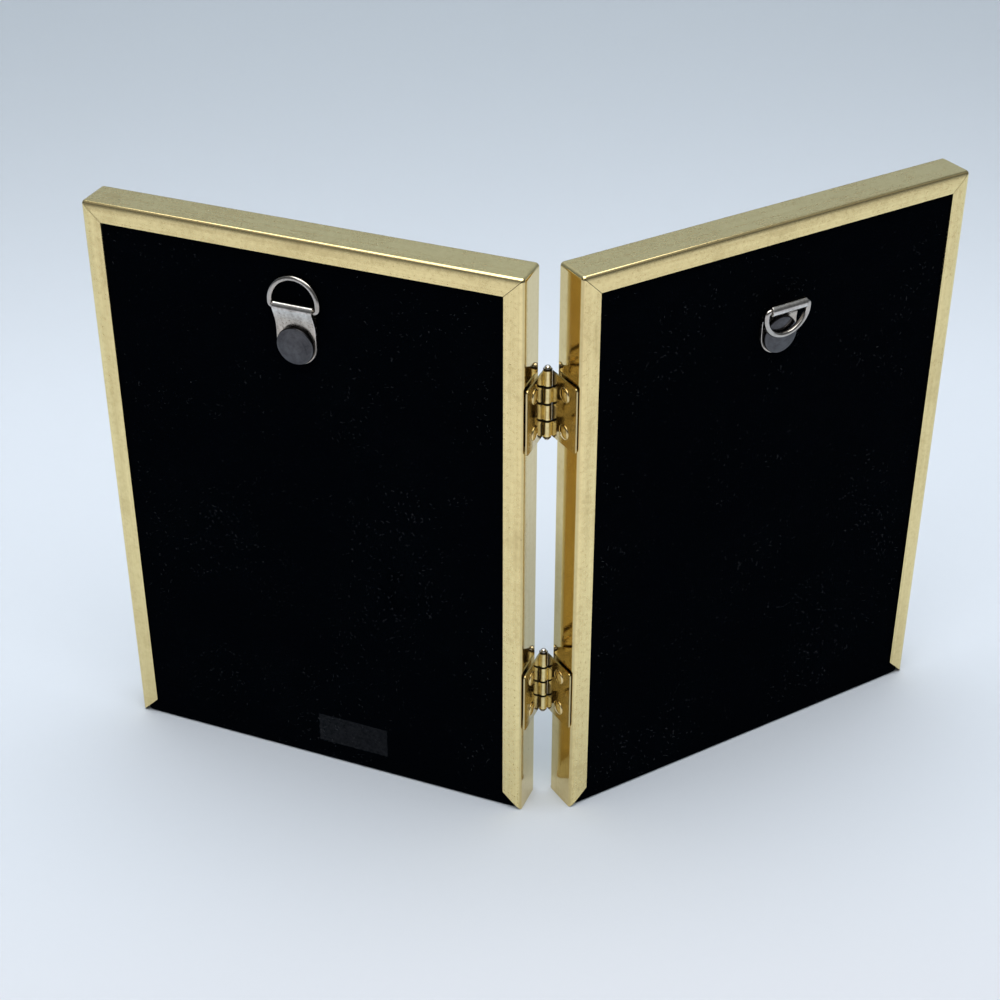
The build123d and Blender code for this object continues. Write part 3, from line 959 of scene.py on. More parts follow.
def turned_mesh(profile: Sequence[Place], foot: Vector, way: Vector, steps: int) -> BMesh:
    """Turn a profile round an axis into a closed mesh.

    Args:
        profile: Points as distance along the axis, radius, and the metal's value of rubbing, painted
            light and painted shade there.
            Sizes are in millimetres, and the first and last points are on the axis.
        foot: Start of the axis, in metres.
        way: Direction of the axis.
        steps: Faces round the axis.

    Returns:
        The mesh, with a map that runs round the axis.
    """
    bm = bmesh.new()
    layer = bm.loops.layers.uv.verify()
    rubbed = bm.verts.layers.float.new(RUB_AND_LIGHT)
    first = way.orthogonal().normalized()
    second = way.cross(first)
    turns = sweep(0.0, 2.0 * math.pi, steps)
    rings = []
    for out, radius, worn in profile:
        ring = []
        for angle in turns[:-1] if radius > 1e-6 else turns[:1]:
            spoke = first * math.cos(angle) + second * math.sin(angle)
            ring.append(bm.verts.new(foot + (way * out + spoke * radius) * MM))
            ring[-1][rubbed] = worn
        rings.append((ring, radius * MM))
    widest = max(radius for _, radius in rings)
    for (lower, low), (upper, high) in zip(rings, rings[1:]):
        for step in range(steps):
            corners = {}
            after = step + 1
            for ring, rise, pair in ((lower, low, (step, after)), (upper, high, (after, step))):
                for count in pair:
                    corners.setdefault(ring[count % len(ring)], (turns[count] * widest, rise))
            for loop in bm.faces.new(list(corners)).loops:
                loop[layer].uv = corners[loop.vert]
    ease_seams(bm)
    return bm


class GrownPiece:
    """A geometry tree with named sizes, run on a base mesh and kept as a plain mesh."""

    def __init__(self, name: str, *sizes: str, **others: str) -> None:
        """Start the tree.

        Args:
            name: Name of the tree.
            sizes: Named inputs that take a number.
            others: Socket type of each further input.
        """
        tree = bpy.data.node_groups.new(name, "GeometryNodeTree")
        kinds = {"Geometry": "Geometry", **dict.fromkeys(sizes, "Float"), **others}
        kinds["Material"] = "Material"
        for key, kind in kinds.items():
            tree.interface.new_socket(key, in_out="INPUT", socket_type=f"NodeSocket{kind}")
        tree.interface.new_socket("Geometry", in_out="OUTPUT", socket_type="NodeSocketGeometry")
        self.wiring = Wiring(tree)
        given = self.wiring.add("NodeGroupInput").outputs
        self.given = {key: Signal(self.wiring, given[key]) for key in kinds}

    def join(self, *parts: Signal) -> Signal:
        """Put several geometries together.

        Args:
            parts: The geometries.

        Returns:
            All of them as one.
        """
        whole = self.wiring.add("GeometryNodeJoinGeometry")
        for part in parts:
            self.wiring.feed(part, whole.inputs[0])
        return Signal(self.wiring, whole.outputs[0])

    def close(self, geometry: Signal) -> None:
        """End the tree: realise what was placed and give it its material.

        Args:
            geometry: What the tree has made.
        """
        plain = self.wiring.read("GeometryNodeRealizeInstances", {0: geometry})
        dressed = {0: plain, "Material": self.given["Material"]}
        finished = self.wiring.read("GeometryNodeSetMaterial", dressed)
        self.wiring.add("NodeGroupOutput", {0: finished})

    def grow(self, name: str, base: bpy.types.Mesh, material: Material, **sizes) -> Piece:
        """Run the tree on a base mesh.

        Args:
            name: Name of the new piece.
            base: Mesh whose points, edges or faces the tree reads.
            material: Material of the result.
            sizes: Value of each named input, with underscores for the spaces of its name.

        Returns:
            The result as a plain mesh object.
        """
        carrier = new_piece(f"{name}_base", base)
        modifier = carrier.modifiers.new("grow", "NODES")
        modifier.node_group = self.wiring.tree
        values = {key.replace("_", " "): value for key, value in sizes.items()}
        values["Material"] = material
        for item in self.wiring.tree.interface.items_tree:
            if item.in_out == "INPUT" and item.name in values:
                modifier[item.identifier] = values[item.name]
        found = carrier.evaluated_get(bpy.context.evaluated_depsgraph_get())
        mesh = bpy.data.meshes.new_from_object(found)
        carrier.modifiers.remove(modifier)
        bpy.data.objects.remove(carrier)
        mesh.name = name
        return new_piece(name, mesh)


def base_mesh(
    name: str, points: Sequence[Vector], edges: Sequence = (), faces: Sequence = ()
) -> bpy.types.Mesh:
    """Make the plain mesh that a geometry tree starts from.

    Args:
        name: Name of the mesh.
        points: Its points, in metres.
        edges: Pairs of points that are joined.
        faces: Rings of points that are filled.

    Returns:
        The mesh.
    """
    mesh = bpy.data.meshes.new(name)
    mesh.from_pydata([tuple(point) for point in points], list(edges), list(faces))
    return mesh


class RivetTree(GrownPiece):
    """Domed rivets on a row of places: a head outside, a shank, and a spread tail inside."""

    ROD_STEPS = 24
    DOME_STEPS = 40
    DOME_RINGS = 20
    RIM_LEVEL = -0.01
    RIM_MERGE = 0.001

    def __init__(self) -> None:
        """Build the tree."""
        sizes = ("Head Radius", "Head Height", "Tail Radius", "Tail Height", "Shank Radius", "Grip")
        shoulders = ("Shoulder Radius", "Shoulder Height", "Shoulder Drop")
        super().__init__("leaf_rivets", *sizes, *shoulders, Outward="Vector")
        wiring, given = self.wiring, self.given
        head = self._dome(given["Head Radius"], given["Head Height"])
        tail = self._dome(given["Tail Radius"], given["Tail Height"])
        below = wiring.vector(z=given["Grip"] * -1.0)
        spread = {"Geometry": tail, "Translation": below, "Rotation": (math.pi, 0.0, 0.0)}
        tail = wiring.read("GeometryNodeTransform", spread)
        shank = self._rod(given["Shank Radius"], given["Grip"], given["Grip"] * -0.5)
        middle = given["Shoulder Height"] * -0.5 - given["Shoulder Drop"]
        shoulder = self._rod(given["Shoulder Radius"], given["Shoulder Height"], middle)
        whole = self.join(head, tail, shank, shoulder)
        facing = {"Vector": given["Outward"]}
        turned = wiring.read("FunctionNodeAlignRotationToVector", facing, axis="Z")
        placing = {"Points": given["Geometry"], "Instance": whole, "Rotation": turned}
        self.close(wiring.read("GeometryNodeInstanceOnPoints", placing))

    def _rod(self, radius: Signal, length: Signal, middle: Signal) -> Signal:
        """Closed rod along the rivet's axis.

        Args:
            radius: Its radius.
            length: Its length.
            middle: Place of its middle on the axis.

        Returns:
            The rod.
        """
        size = {"Vertices": self.ROD_STEPS, "Radius": radius, "Depth": length}
        rod = self.wiring.read("GeometryNodeMeshCylinder", size, "Mesh")
        moved = {"Geometry": rod, "Translation": self.wiring.vector(z=middle)}
        return self.wiring.read("GeometryNodeTransform", moved)

    def _dome(self, radius: Signal, height: Signal) -> Signal:
        """Half a flattened ball that stands on its closed rim.

        Args:
            radius: Radius of the rim.
            height: Rise above the rim.

        Returns:
            The dome.
        """
        wiring = self.wiring
        round_ball = {"Segments": self.DOME_STEPS, "Rings": self.DOME_RINGS, "Radius": 1.0}
        ball = wiring.read("GeometryNodeMeshUVSphere", round_ball, "Mesh")
        level = wiring.parts(wiring.read("GeometryNodeInputPosition"))[2]
        lower = {0: level, 1: self.RIM_LEVEL}
        under = wiring.read("FunctionNodeCompare", lower, operation="LESS_THAN")
        cap = wiring.read("GeometryNodeDeleteGeometry", {"Geometry": ball, "Selection": under})
        cap = wiring.read("GeometryNodeSetShadeSmooth", {"Geometry": cap})
        circle = {"Vertices": self.DOME_STEPS, "Radius": 1.0}
        rim = wiring.read("GeometryNodeMeshCircle", circle, fill_type="NGON")
        both = self.join(cap, wiring.read("GeometryNodeFlipFaces", {0: rim}))
        merged = {"Geometry": both, "Distance": self.RIM_MERGE}
        whole = wiring.read("GeometryNodeMergeByDistance", merged)
        size = {"Geometry": whole, "Scale": wiring.vector(radius, radius, height)}
        return wiring.read("GeometryNodeTransform", size)


class WireTree(GrownPiece):
    """Squared wire with rounded edges that follows a closed line."""

    EDGE_STEPS = 6

    def __init__(self) -> None:
        """Build the tree."""
        super().__init__("ring_wire", "Wire Width", "Edge Radius", Steps="Int")
        wiring, given = self.wiring, self.given
        line = wiring.read("GeometryNodeMeshToCurve", {0: given["Geometry"]})
        even = wiring.read("GeometryNodeResampleCurve", {"Curve": line, "Count": given["Steps"]})
        square = {"Width": given["Wire Width"], "Height": given["Wire Width"]}
        sharp = wiring.read("GeometryNodeCurvePrimitiveQuadrilateral", square)
        rounding = {"Curve": sharp, "Count": self.EDGE_STEPS, "Radius": given["Edge Radius"]}
        section = wiring.read("GeometryNodeFilletCurve", rounding, mode="POLY")
        tube = wiring.read("GeometryNodeCurveToMesh", {"Curve": even, "Profile Curve": section})
        self.close(wiring.read("GeometryNodeSetShadeSmooth", {"Geometry": tube}))


class LintTree(GrownPiece):
    """Loose curled fibres scattered on cloth, thicker in some places than in others."""

    CURL = (0.45, 0.4, 0.3)
    TIP_RISE = 0.12
    FIBRE_PARTS = 5
    FIBRE_SIDES = 3
    LENGTHS = (0.25, 1.4)

    def __init__(self) -> None:
        """Build the tree."""
        sizes = ("Density", "Cluster Scale", "Fibre Length", "Fibre Radius")
        super().__init__("velvet_lint", *sizes, Seed="Int")
        wiring, given = self.wiring, self.given
        cloth = {"Mesh": given["Geometry"], "Density": given["Density"], "Seed": given["Seed"]}
        spots = wiring.add("GeometryNodeDistributePointsOnFaces", cloth).outputs
        length = given["Fibre Length"]
        middle = wiring.vector(*(length * share for share in self.CURL))
        tip = wiring.vector(length, z=length * self.TIP_RISE)
        bend = {"Start": (0.0, 0.0, 0.0), "Middle": middle, "End": tip}
        bend["Resolution"] = self.FIBRE_PARTS
        fibre = wiring.read("GeometryNodeCurveQuadraticBezier", bend)
        section = {"Resolution": self.FIBRE_SIDES, "Radius": given["Fibre Radius"]}
        thread = wiring.read("GeometryNodeCurvePrimitiveCircle", section)
        swept = {"Curve": fibre, "Profile Curve": thread, "Fill Caps": True}
        strand = wiring.read("GeometryNodeCurveToMesh", swept)
        about = {"Axis": UP, "Angle": self._chance(0.0, 2.0 * math.pi)}
        spin = wiring.read("FunctionNodeAxisAngleToRotation", about)
        turn = {"Rotation": spots["Rotation"], "Rotate By": spin}
        turned = wiring.read("FunctionNodeRotateRotation", turn, rotation_space="LOCAL")
        place = wiring.read("GeometryNodeInputPosition")
        cloud = wiring.noise(place, given["Cluster Scale"], detail=3.0, rough=0.6)
        kept = self._chance(0.0, 1.0) < wiring.span(cloud, low=0.38, high=0.62, start=0.12)
        placing = {"Points": spots["Points"], "Selection": kept, "Instance": strand}
        placing.update({"Rotation": turned, "Scale": self._chance(*self.LENGTHS)})
        self.close(wiring.read("GeometryNodeInstanceOnPoints", placing))

    def _chance(self, low: float, high: float) -> Signal:
        """Number drawn for each fibre between two ends."""
        ends = {2: low, 3: high, "Seed": self.given["Seed"]}
        return self.wiring.read("FunctionNodeRandomValue", ends, 1)


@dataclass
class ChannelStrip:
    """Brass strip of one frame: a wall with a lip on each side, folded over the two top corners, its
    lips and top wall painted lighter than its side walls.
    """

    side: Side
    width: float = 133.2
    height: float = 182.0
    depth: float = 12.1
    sheet: float = 0.6
    lip: float = 5.9
    lip_spacing: float = 1.6
    bend_inset: float = 0.8
    bend_tilt: float = 18.0
    bend_ease: float = 0.9
    crown: float = 1.8
    fold_radius: float = 1.2
    mitre_start: float = 0.5
    mitre_gap: float = 0.14
    crease: float = 40.0
    # Painted light: its share on the top wall and the bends, how fast it fades across a bend, and
    # the share the outer side keeps, whose lips are painted darker toward the foot.
    top_painted_light: float = 0.95
    bend_painted_light: float = 0.3
    painted_light_fade: float = 3.0
    outer_painted_light: float = 0.4
    bend_steps: int = 10
    lip_steps: int = 14
    ease_parts: int = 12
    fold_steps: int = 13

    def _tilt(self, inset: float) -> float:
        """Angle in radians by which the lip leans out at one inset, most at its bend."""
        rolled = self.bend_tilt * math.exp((self.bend_inset - inset) / self.bend_ease)
        return math.radians(rolled - self.crown * inset / self.lip)

    def _contour(self) -> List[Quad]:
        """Trace the strip's outer face from one free edge to the other.

        Returns:
            Points as inset from the wall, depth, angle of the face's normal and painted light, full
            on the lip and fading across the bend.
        """
        shares = [(step / self.lip_steps) ** self.lip_spacing for step in range(self.lip_steps + 1)]
        insets = [self.bend_inset + (self.lip - self.bend_inset) * share for share in shares]
        falls = [0.0]
        for near, far in zip(insets, insets[1:]):
            part = (far - near) / self.ease_parts
            tilts = [self._tilt(near + part * (count + 0.5)) for count in range(self.ease_parts)]
            falls.append(falls[-1] + sum(math.tan(tilt) * part for tilt in tilts))
        level = self.depth - max(falls)
        line = [(inset, level + fall, self._tilt(inset), 1.0) for inset, fall in zip(insets, falls)]
        line.reverse()
        start = self._tilt(self.bend_inset)
        radius = self.bend_inset / (1.0 - math.sin(start))
        middle = line[-1][1] - radius * math.cos(start)
        for step, angle in enumerate(sweep(start, QUARTER, self.bend_steps)[1:], start=1):
            # Painted light fades across the bend from the lip toward the wall.
            worn = max(0.0, 1.0 - self.painted_light_fade * step / self.bend_steps)
            inset = radius * (1.0 - math.sin(angle))
            line.append((inset, middle + radius * math.cos(angle), angle, worn))
        other = []
        for inset, depth, angle, worn in reversed(line):
            other.append((inset, self.depth - depth, math.pi - angle, worn))
        return line + other

    def _path(self, inset: float, foot: float) -> List[Point]:
        """Line round the frame at one inset: up one side, over the top and down the other.

        Args:
            inset: Distance inside the outer wall face.
            foot: Height at which the line starts and ends.

        Returns:
            Points as (x, height), with as many at each inset.
        """
        half = self.width / 2.0 - inset
        top = self.height - inset
        radius = max(self.fold_radius - inset, 0.0)
        gap = self.mitre_gap / 2.0 * math.sqrt(0.5) if inset > self.mitre_start else 0.0
        corner = []
        for angle in sweep(0.0, QUARTER, self.fold_steps):
            shift = math.copysign(gap, angle - 0.5 * QUARTER)
            x = -half + radius * (1.0 - math.cos(angle)) + shift
            corner.append((x, top - radius * (1.0 - math.sin(angle)) + shift))
        other = [(-x, up) for x, up in reversed(corner)]
        return [(-half, foot), *corner, *other, (half, foot)]

    def _close(self, bm: BMesh, grids: Sequence, slot_rows: int) -> None:
        """Lay the strip's two faces and close its edges, with a slot at each mitre.

        Args:
            bm: The mesh.
            grids: Points of the outer and the inner face, by row and column.
            slot_rows: Rows of each lip that the mitres cut.
        """
        outer, inner = grids
        rows, columns = len(outer), len(outer[0])
        slots = (1 + self.fold_steps // 2, columns - 3 - self.fold_steps // 2)
        walls = []
        for row in range(rows - 1):
            cut = slots if min(row, rows - 2 - row) < slot_rows else ()
            for column in range(columns - 1):
                if column not in cut:
                    for grid in grids:
                        skin(bm, [line[column : column + 2] for line in grid[row : row + 2]])
            for column in (0, columns - 1, *cut, *(slot + 1 for slot in cut)):
                walls.append(((row, column), (row + 1, column)))
        for column in range(columns - 1):
            ends = (slot_rows, rows - 1 - slot_rows) if column in slots else (0, rows - 1)
            walls.extend(((row, column), (row, column + 1)) for row in ends)
        for pair in walls:
            skin(bm, [[grid[row][column] for row, column in pair] for grid in (outer, inner)])

    def build(self, material: Material) -> Piece:
        """Build the strip's closed mesh, with a map that runs along it.

        Args:
            material: Its brass.

        Returns:
            The new piece.
        """
        plane = FacePlane(self.side)
        contour = self._contour()
        bm = bmesh.new()
        rubbed = bm.verts.layers.float.new(RUB_AND_LIGHT)
        along = lengths(self._path(0.0, 0.0))
        up = lengths([point[:2] for point in contour])
        fold = sweep(0.0, self.top_painted_light, self.fold_steps)
        over = [0.0, *fold, *reversed(fold), 0.0]
        outer_edge = 0 if self.side is Side.LEFT else len(along) - 1
        grids, marks = [], {}
        for inwards in (0.0, self.sheet):
            grid = []
            for row, (inset, depth, angle, worn) in enumerate(contour):
                line = self._path(inset + inwards * math.sin(angle), inset)
                level = depth - inwards * math.cos(angle)
                grid.append([bm.verts.new(plane.at(x, height, level)) for x, height in line])
                # Painted light: lips and top wall take the lighter brass, side walls keep the plain
                # brass, and the outer side's lips are painted darker toward the foot as painted
                # shade.
                share = 1.0 if abs(angle - QUARTER) < 0.01 else self.bend_painted_light
                for column, vert in enumerate(grid[-1]):
                    marks[vert] = (along[column] * MM, up[row] * MM)
                    kept = self.outer_painted_light if column == outer_edge else 1.0
                    vert[rubbed] = max(worn * kept, over[column] * share)
            grids.append(grid)
        insets = [point[0] for point in contour[: len(contour) // 2]]
        self._close(bm, grids, sum(inset > self.mitre_start for inset in insets) - 1)
        map_faces(bm, marks.__getitem__)
        ease_seams(bm, self.crease)
        return keep_mesh(f"{self.side.value}_channel_strip", bm, material, even=True)


@dataclass
class VelvetBack:
    """Velvet wrapped over the back board, with its lint."""

    side: Side
    width: float = 129.6
    bottom: float = 0.3
    top: float = 180.6
    face_depth: float = 11.3
    flap_depth: float = 7.2
    flap: float = 14.0
    corner: float = 1.4
    least_corner: float = 0.05
    rounding: float = 0.5
    pressed: float = 0.35
    crease: float = 60.0
    corner_steps: int = 6
    round_steps: int = 5
    lint_margin: float = 6.0
    lint_foot: float = 1.0
    lint_density: float = 190000.0
    lint_clusters: float = 38.0
    lint_length: float = 0.55
    lint_radius: float = 0.015

    def _ring(self, inset: float) -> List[Point]:
        """Rounded outline of the panel, drawn in by an inset.

        Args:
            inset: Distance inside the panel's edge.

        Returns:
            Points as (x, height).
        """
        radius = max(self.corner - inset, self.least_corner)
        x = self.width / 2.0 - inset - radius
        low, high = self.bottom + inset + radius, self.top - inset - radius
        ring = []
        for quarter, (middle, up) in enumerate(((x, high), (-x, high), (-x, low), (x, low))):
            for angle in sweep(QUARTER * quarter, QUARTER * (quarter + 1), self.corner_steps):
                ring.append((middle + radius * math.cos(angle), up + radius * math.sin(angle)))
        return ring

    def build(self, material: Material) -> Piece:
        """Build the wrapped sheet with its thickness.

        Args:
            material: Its velvet.

        Returns:
            The new piece.
        """
        plane = FacePlane(self.side)
        angles = sweep(0.0, QUARTER, self.round_steps)
        turns = [(1.0 - math.sin(angle), 1.0 - math.cos(angle)) for angle in angles]
        low, high, small, large = self.flap_depth, self.face_depth, self.pressed, self.rounding
        profile = [(self.flap, low)]
        profile += [(small * near, low + small * far) for near, far in turns]
        profile += [(large * far, high - large * near) for near, far in turns]
        bm = bmesh.new()
        rings = []
        for inset, depth in profile:
            rings.append([bm.verts.new(plane.at(x, up, depth)) for x, up in self._ring(inset)])
        skin(bm, rings, closed=True)
        bm.faces.new(rings[-1])
        map_faces(bm, lambda vert: plane.local(vert.co)[:2])
        ease_seams(bm, self.crease)
        if max(bm.faces, key=lambda face: face.calc_area()).normal.dot(plane.back) < 0.0:
            bmesh.ops.reverse_faces(bm, faces=bm.faces[:])
        piece = keep_mesh(f"{self.side.value}_velvet_wrap", bm, material)
        thickness = piece.modifiers.new("cloth", "SOLIDIFY")
        thickness.thickness = self.pressed * MM
        thickness.offset = -1.0
        return piece

    def scatter(self, tree: LintTree, material: Material, seed: int) -> Piece:
        """Lay loose fibres on the visible cloth.

        Args:
            tree: Tree that scatters the fibres.
            material: Their material.
            seed: Number that fixes their places.

        Returns:
            The fibres as one piece.
        """
        plane = FacePlane(self.side)
        half, top = self.width / 2.0 - self.lint_margin, self.top - self.lint_margin
        corners = ((-half, self.lint_foot), (half, self.lint_foot), (half, top), (-half, top))
        points = [plane.at(x, up, self.face_depth + self.lint_radius) for x, up in corners]
        base = base_mesh(f"{self.side.value}_lint_field", points, faces=[(0, 1, 2, 3)])
        sizes = {"Fibre_Length": self.lint_length * MM, "Fibre_Radius": self.lint_radius * MM}
        sizes.update(Density=self.lint_density, Cluster_Scale=self.lint_clusters, Seed=seed)
        return tree.grow(f"{self.side.value}_velvet_lint", base, material, **sizes)


@dataclass
class StrapHanger:
    """Folded strap with its broad rivet and the D-ring that swings in its loop."""

    side: Side
    shift: float
    rivet_height: float
    bar_off: float
    bar_up: float
    rest_off: float
    turned_up: bool
    velvet_depth: float = 11.3
    head_seat: float = 1.2
    head_height: float = 1.4
    head_dome: float = 0.25
    head_radius: float = 5.7
    head_round: float = 0.35
    rim_step: float = 0.05
    # Painted light at the top of the rim and painted shade down its side.
    rim_painted_light: float = 0.5
    rim_painted_shade: float = 0.35
    shank_radius: float = 2.0
    tail_radius: float = 2.9
    tail_height: float = 0.6
    tail_seat: float = -2.7
    bar_half: float = 6.25
    corner: float = 1.0
    reach: float = 9.0
    bow_radius: float = 7.29
    wire_width: float = 1.66
    wire_edge: float = 0.8
    strap_half: float = 6.1
    strap_sheet: float = 0.6
    strap_edge: float = 0.18
    loop_inside: float = 1.0
    knee_rise: float = 5.9
    knee_ease: float = 2.0
    loop_polish: float = 0.9
    round_steps: int = 6
    turn_steps: int = 72
    corner_steps: int = 12
    bow_steps: int = 60
    wire_steps: int = 200
    loop_steps: int = 30
    knee_steps: int = 6
    end_steps: int = 16
    edge_steps: int = 4

    def _rivet_line(self) -> List[Place]:
        """Profile of the broad rivet: a low dome with a rounded rim, painted lighter at its top and
        darker down its side, a shank and a spread tail.

        Returns:
            Points for turned_mesh.
        """
        top = self.head_seat + self.head_height
        flat = self.head_radius - self.head_round
        face = dome_line(top - self.head_dome, self.head_radius, self.head_dome)
        line = [point for point in face if point[1] < flat - self.rim_step]
        rim = top - self.head_dome * (flat / self.head_radius) ** 2 - self.head_round
        for angle in sweep(0.0, QUARTER, self.round_steps):
            out, wide = self.head_round * math.cos(angle), self.head_round * math.sin(angle)
            # Painted light at the top of the rim's rounding, and painted shade down its side and at
            # its seat.
            worn = self.rim_painted_light * math.cos(2.0 * angle) - self.rim_painted_shade
            line.append((rim + out, flat + wide, worn))
        line.append((self.head_seat, self.head_radius, -1.0))
        line += [(seat, self.shank_radius, 0.0) for seat in (self.head_seat, self.tail_seat)]
        line.extend(reversed(dome_line(self.tail_seat, self.tail_radius, -self.tail_height)))
        return line

    def _touch(self, hand: int, radius: float, foot: Point) -> float:
        """Angle about the bar at which a leg from a foot runs into a round of the loop.

        Args:
            hand: 1 for the front leg, -1 for the one on the velvet.
            radius: Radius of the round.
            foot: Where the leg starts, as off the velvet and up.

        Returns:
            The angle in radians, from straight off the velvet.
        """
        off, up = foot[0] - self.bar_off, foot[1] - self.bar_up
        return math.atan2(up, off) + hand * math.acos(radius / math.hypot(off, up))

    def _round(self, radius: float, angle: float) -> Point:
        """Point on a round about the bar, as off the velvet and up."""
        return self.bar_off + radius * math.cos(angle), self.bar_up + radius * math.sin(angle)

    def _fold_line(self) -> List[Tuple[Point, Point]]:
        """Trace the side of the folded strap above its round end, from the front over to the back.

        Returns:
            Pairs of a point outside and its partner inside, each as off the velvet and up.
        """
        middle = (self.strap_sheet, self.knee_rise)
        radii = (self.loop_inside + self.strap_sheet, self.loop_inside)
        legs, ends = {}, {}
        for hand in (1, -1):
            foot = (self.strap_sheet * (1 + hand), self.knee_rise)
            starts = zip(radii, (foot, middle))
            ends[hand] = [self._touch(hand, radius, start) for radius, start in starts]
            outer, inner = map(self._round, radii, ends[hand])
            scale = self.knee_ease / math.dist(foot, outer)
            legs[hand] = [((foot[0], 0.0), (self.strap_sheet, 0.0))]
            for share in sweep(0.0, 1.0, self.knee_steps):
                off, up = between(foot, outer, share**2 * scale)
                down = self.knee_ease * (1.0 - share) ** 2
                inside, level = between(middle, inner, max(0.0, 2.0 * share - 1.0) * scale)
                drop = self.knee_ease * max(0.0, 1.0 - 2.0 * share)
                legs[hand].append(((off, up - down), (inside, level - drop)))
        arcs = []
        for radius, first, last in zip(radii, ends[1], ends[-1]):
            whole = last + (2.0 * math.pi if last < first else 0.0)
            angles = sweep(first, whole, self.loop_steps)
            arcs.append([self._round(radius, angle) for angle in angles])
        return [*legs[1], *zip(*arcs), *reversed(legs[-1])]

    def _stations(self) -> List[Tuple[Point, Point, Point, float, float]]:
        """Cut the folded strap into cross sections, from one half of its round end to the other.

        Returns:
            Outer point, its normal, the inner point, the turn round the end, and the polish.
        """
        fold = self._fold_line()
        stations = []
        for count, (outer, inner) in enumerate(fold):
            before, after = fold[max(count - 1, 0)][0], fold[min(count + 1, len(fold) - 1)][0]
            length = math.dist(before, after)
            normal = ((after[1] - before[1]) / length, (before[0] - after[0]) / length)
            polish = self.loop_polish if outer[1] > self.knee_rise + self.knee_ease else 0.0
            stations.append((outer, normal, inner, 0.0, polish))
        core = (self.strap_sheet, 0.0)
        for turn in sweep(0.0, QUARTER, self.end_steps)[1:]:
            stations.insert(0, ((2.0 * self.strap_sheet, 0.0), (1.0, 0.0), core, turn, 0.0))
            stations.append(((0.0, 0.0), (-1.0, 0.0), core, turn, 0.0))
        return stations

    def _strap(self) -> BMesh:
        """Build the folded strap, with rounded edges that show rubbing and a map that runs along it.

        Returns:
            The mesh.
        """
        plane = FacePlane(self.side)
        bm = bmesh.new()
        rubbed = bm.verts.layers.float.new(RUB_AND_LIGHT)
        along = bm.verts.layers.float.new("along")

        def lay(spot: Point, wide: float, turn: float, worn: float, run: float) -> BMVert:
            """Add one point of a cross section.

            Args:
                spot: Its place as off the velvet and up from the rivet.
                wide: Its distance to the side of the middle.
                turn: Turn of the cross section round the strap's end.
                worn: Its value of rubbing.
                run: Distance along the strap.

            Returns:
                The point.
            """
            x = self.shift + wide * math.cos(turn)
            up = self.rivet_height + spot[1] - abs(wide) * math.sin(turn)
            vert = bm.verts.new(plane.at(x, up, self.velvet_depth + spot[0]))
            vert[rubbed] = worn
            vert[along] = run * MM
            return vert

        stations = self._stations()
        middles = []
        for (off, up), _, _, turn, _ in stations:
            middles.append((off, up - self.strap_half * math.sin(turn)))
        edge = sweep(0.0, QUARTER, self.edge_steps)
        columns = [(-1, angle) for angle in reversed(edge)] + [(1, angle) for angle in edge]
        rows, cores, hollow = [], [], []
        for (outer, normal, inner, turn, polish), run in zip(stations, lengths(middles)):
            row = []
            for hand, angle in columns:
                wide = self.strap_half - self.strap_edge * (1.0 - math.sin(angle))
                sunk = self.strap_edge * (1.0 - math.cos(angle))
                spot = (outer[0] - normal[0] * sunk, outer[1] - normal[1] * sunk)
                row.append(lay(spot, hand * wide, turn, max(polish, math.sin(2.0 * angle)), run))
            rows.append(row)
            cores.append([lay(inner, hand * self.strap_half, turn, 0.0, run) for hand in (-1, 1)])
            if inner[1] >= self.knee_rise - MERGE:
                hollow.append(cores[-1])
        skin(bm, rows)
        for end in (0, -1):
            skin(bm, [(row[end], core[end]) for row, core in zip(rows, cores)])
        skin(bm, hollow)
        ease_seams(bm)
        map_faces(bm, lambda vert: (vert[along], plane.local(vert.co)[0]))
        return bm

    def _wire_line(self) -> List[Vector]:
        """Closed centre line of the ring: its bar, two tight corners and the bow.

        Returns:
            Points in metres.
        """
        plane = FacePlane(self.side)
        level = self.rivet_height + self.bar_up
        bar = plane.at(self.shift, level, self.velvet_depth + self.bar_off)
        lean = math.asin((self.rest_off - self.bar_off) / self.reach)
        rise = math.cos(lean) if self.turned_up else -math.cos(lean)
        reach = UP * rise + plane.back * math.sin(lean)
        middle = self.reach - self.bow_radius
        end = math.atan2(self.corner - middle, self.bar_half)
        corner = [
            (self.bar_half + self.corner * math.cos(angle), self.corner * (1.0 + math.sin(angle)))
            for angle in sweep(-QUARTER, end, self.corner_steps)
        ]
        bow = [
            (self.bow_radius * math.cos(angle), middle + self.bow_radius * math.sin(angle))
            for angle in sweep(end, math.pi - end, self.bow_steps)[1:-1]
        ]
        flat = [*corner, *bow, *((-x, out) for x, out in reversed(corner))]
        return [bar + (plane.across * x + reach * out) * MM for x, out in flat]

    def build(self, wire: WireTree, finishes: Finishes) -> None:
        """Build strap, rivet and ring, and settle them on their bodies.

        Args:
            wire: Tree that sweeps the ring's wire.
            finishes: The object's materials.
        """
        name = self.side.value
        plane = FacePlane(self.side)
        strap = keep_mesh(f"{name}_strap_loop", self._strap(), finishes.strap_nickel, even=True)
        settle(strap, f"{name}_back", "nickel", f"{name}_hanger_strap")
        foot = plane.at(self.shift, self.rivet_height, self.velvet_depth)
        turned = turned_mesh(self._rivet_line(), foot, plane.back, self.turn_steps)
        rivet = keep_mesh(f"{name}_broad_rivet", turned, finishes.gunmetal, even=True)
        settle(rivet, f"{name}_back", "rivet_steel", f"{name}_hanger_rivet")
        line = self._wire_line()
        edges = [(count, (count + 1) % len(line)) for count in range(len(line))]
        base = base_mesh(f"{name}_ring_line", line, edges=edges)
        sizes = {"Wire_Width": self.wire_width * MM, "Edge_Radius": self.wire_edge * MM}
        sizes["Steps"] = self.wire_steps
        ring = wire.grow(f"{name}_ring_wire", base, finishes.nickel, **sizes)
        settle(ring, f"{name}_ring", "nickel", f"{name}_hanger_ring")


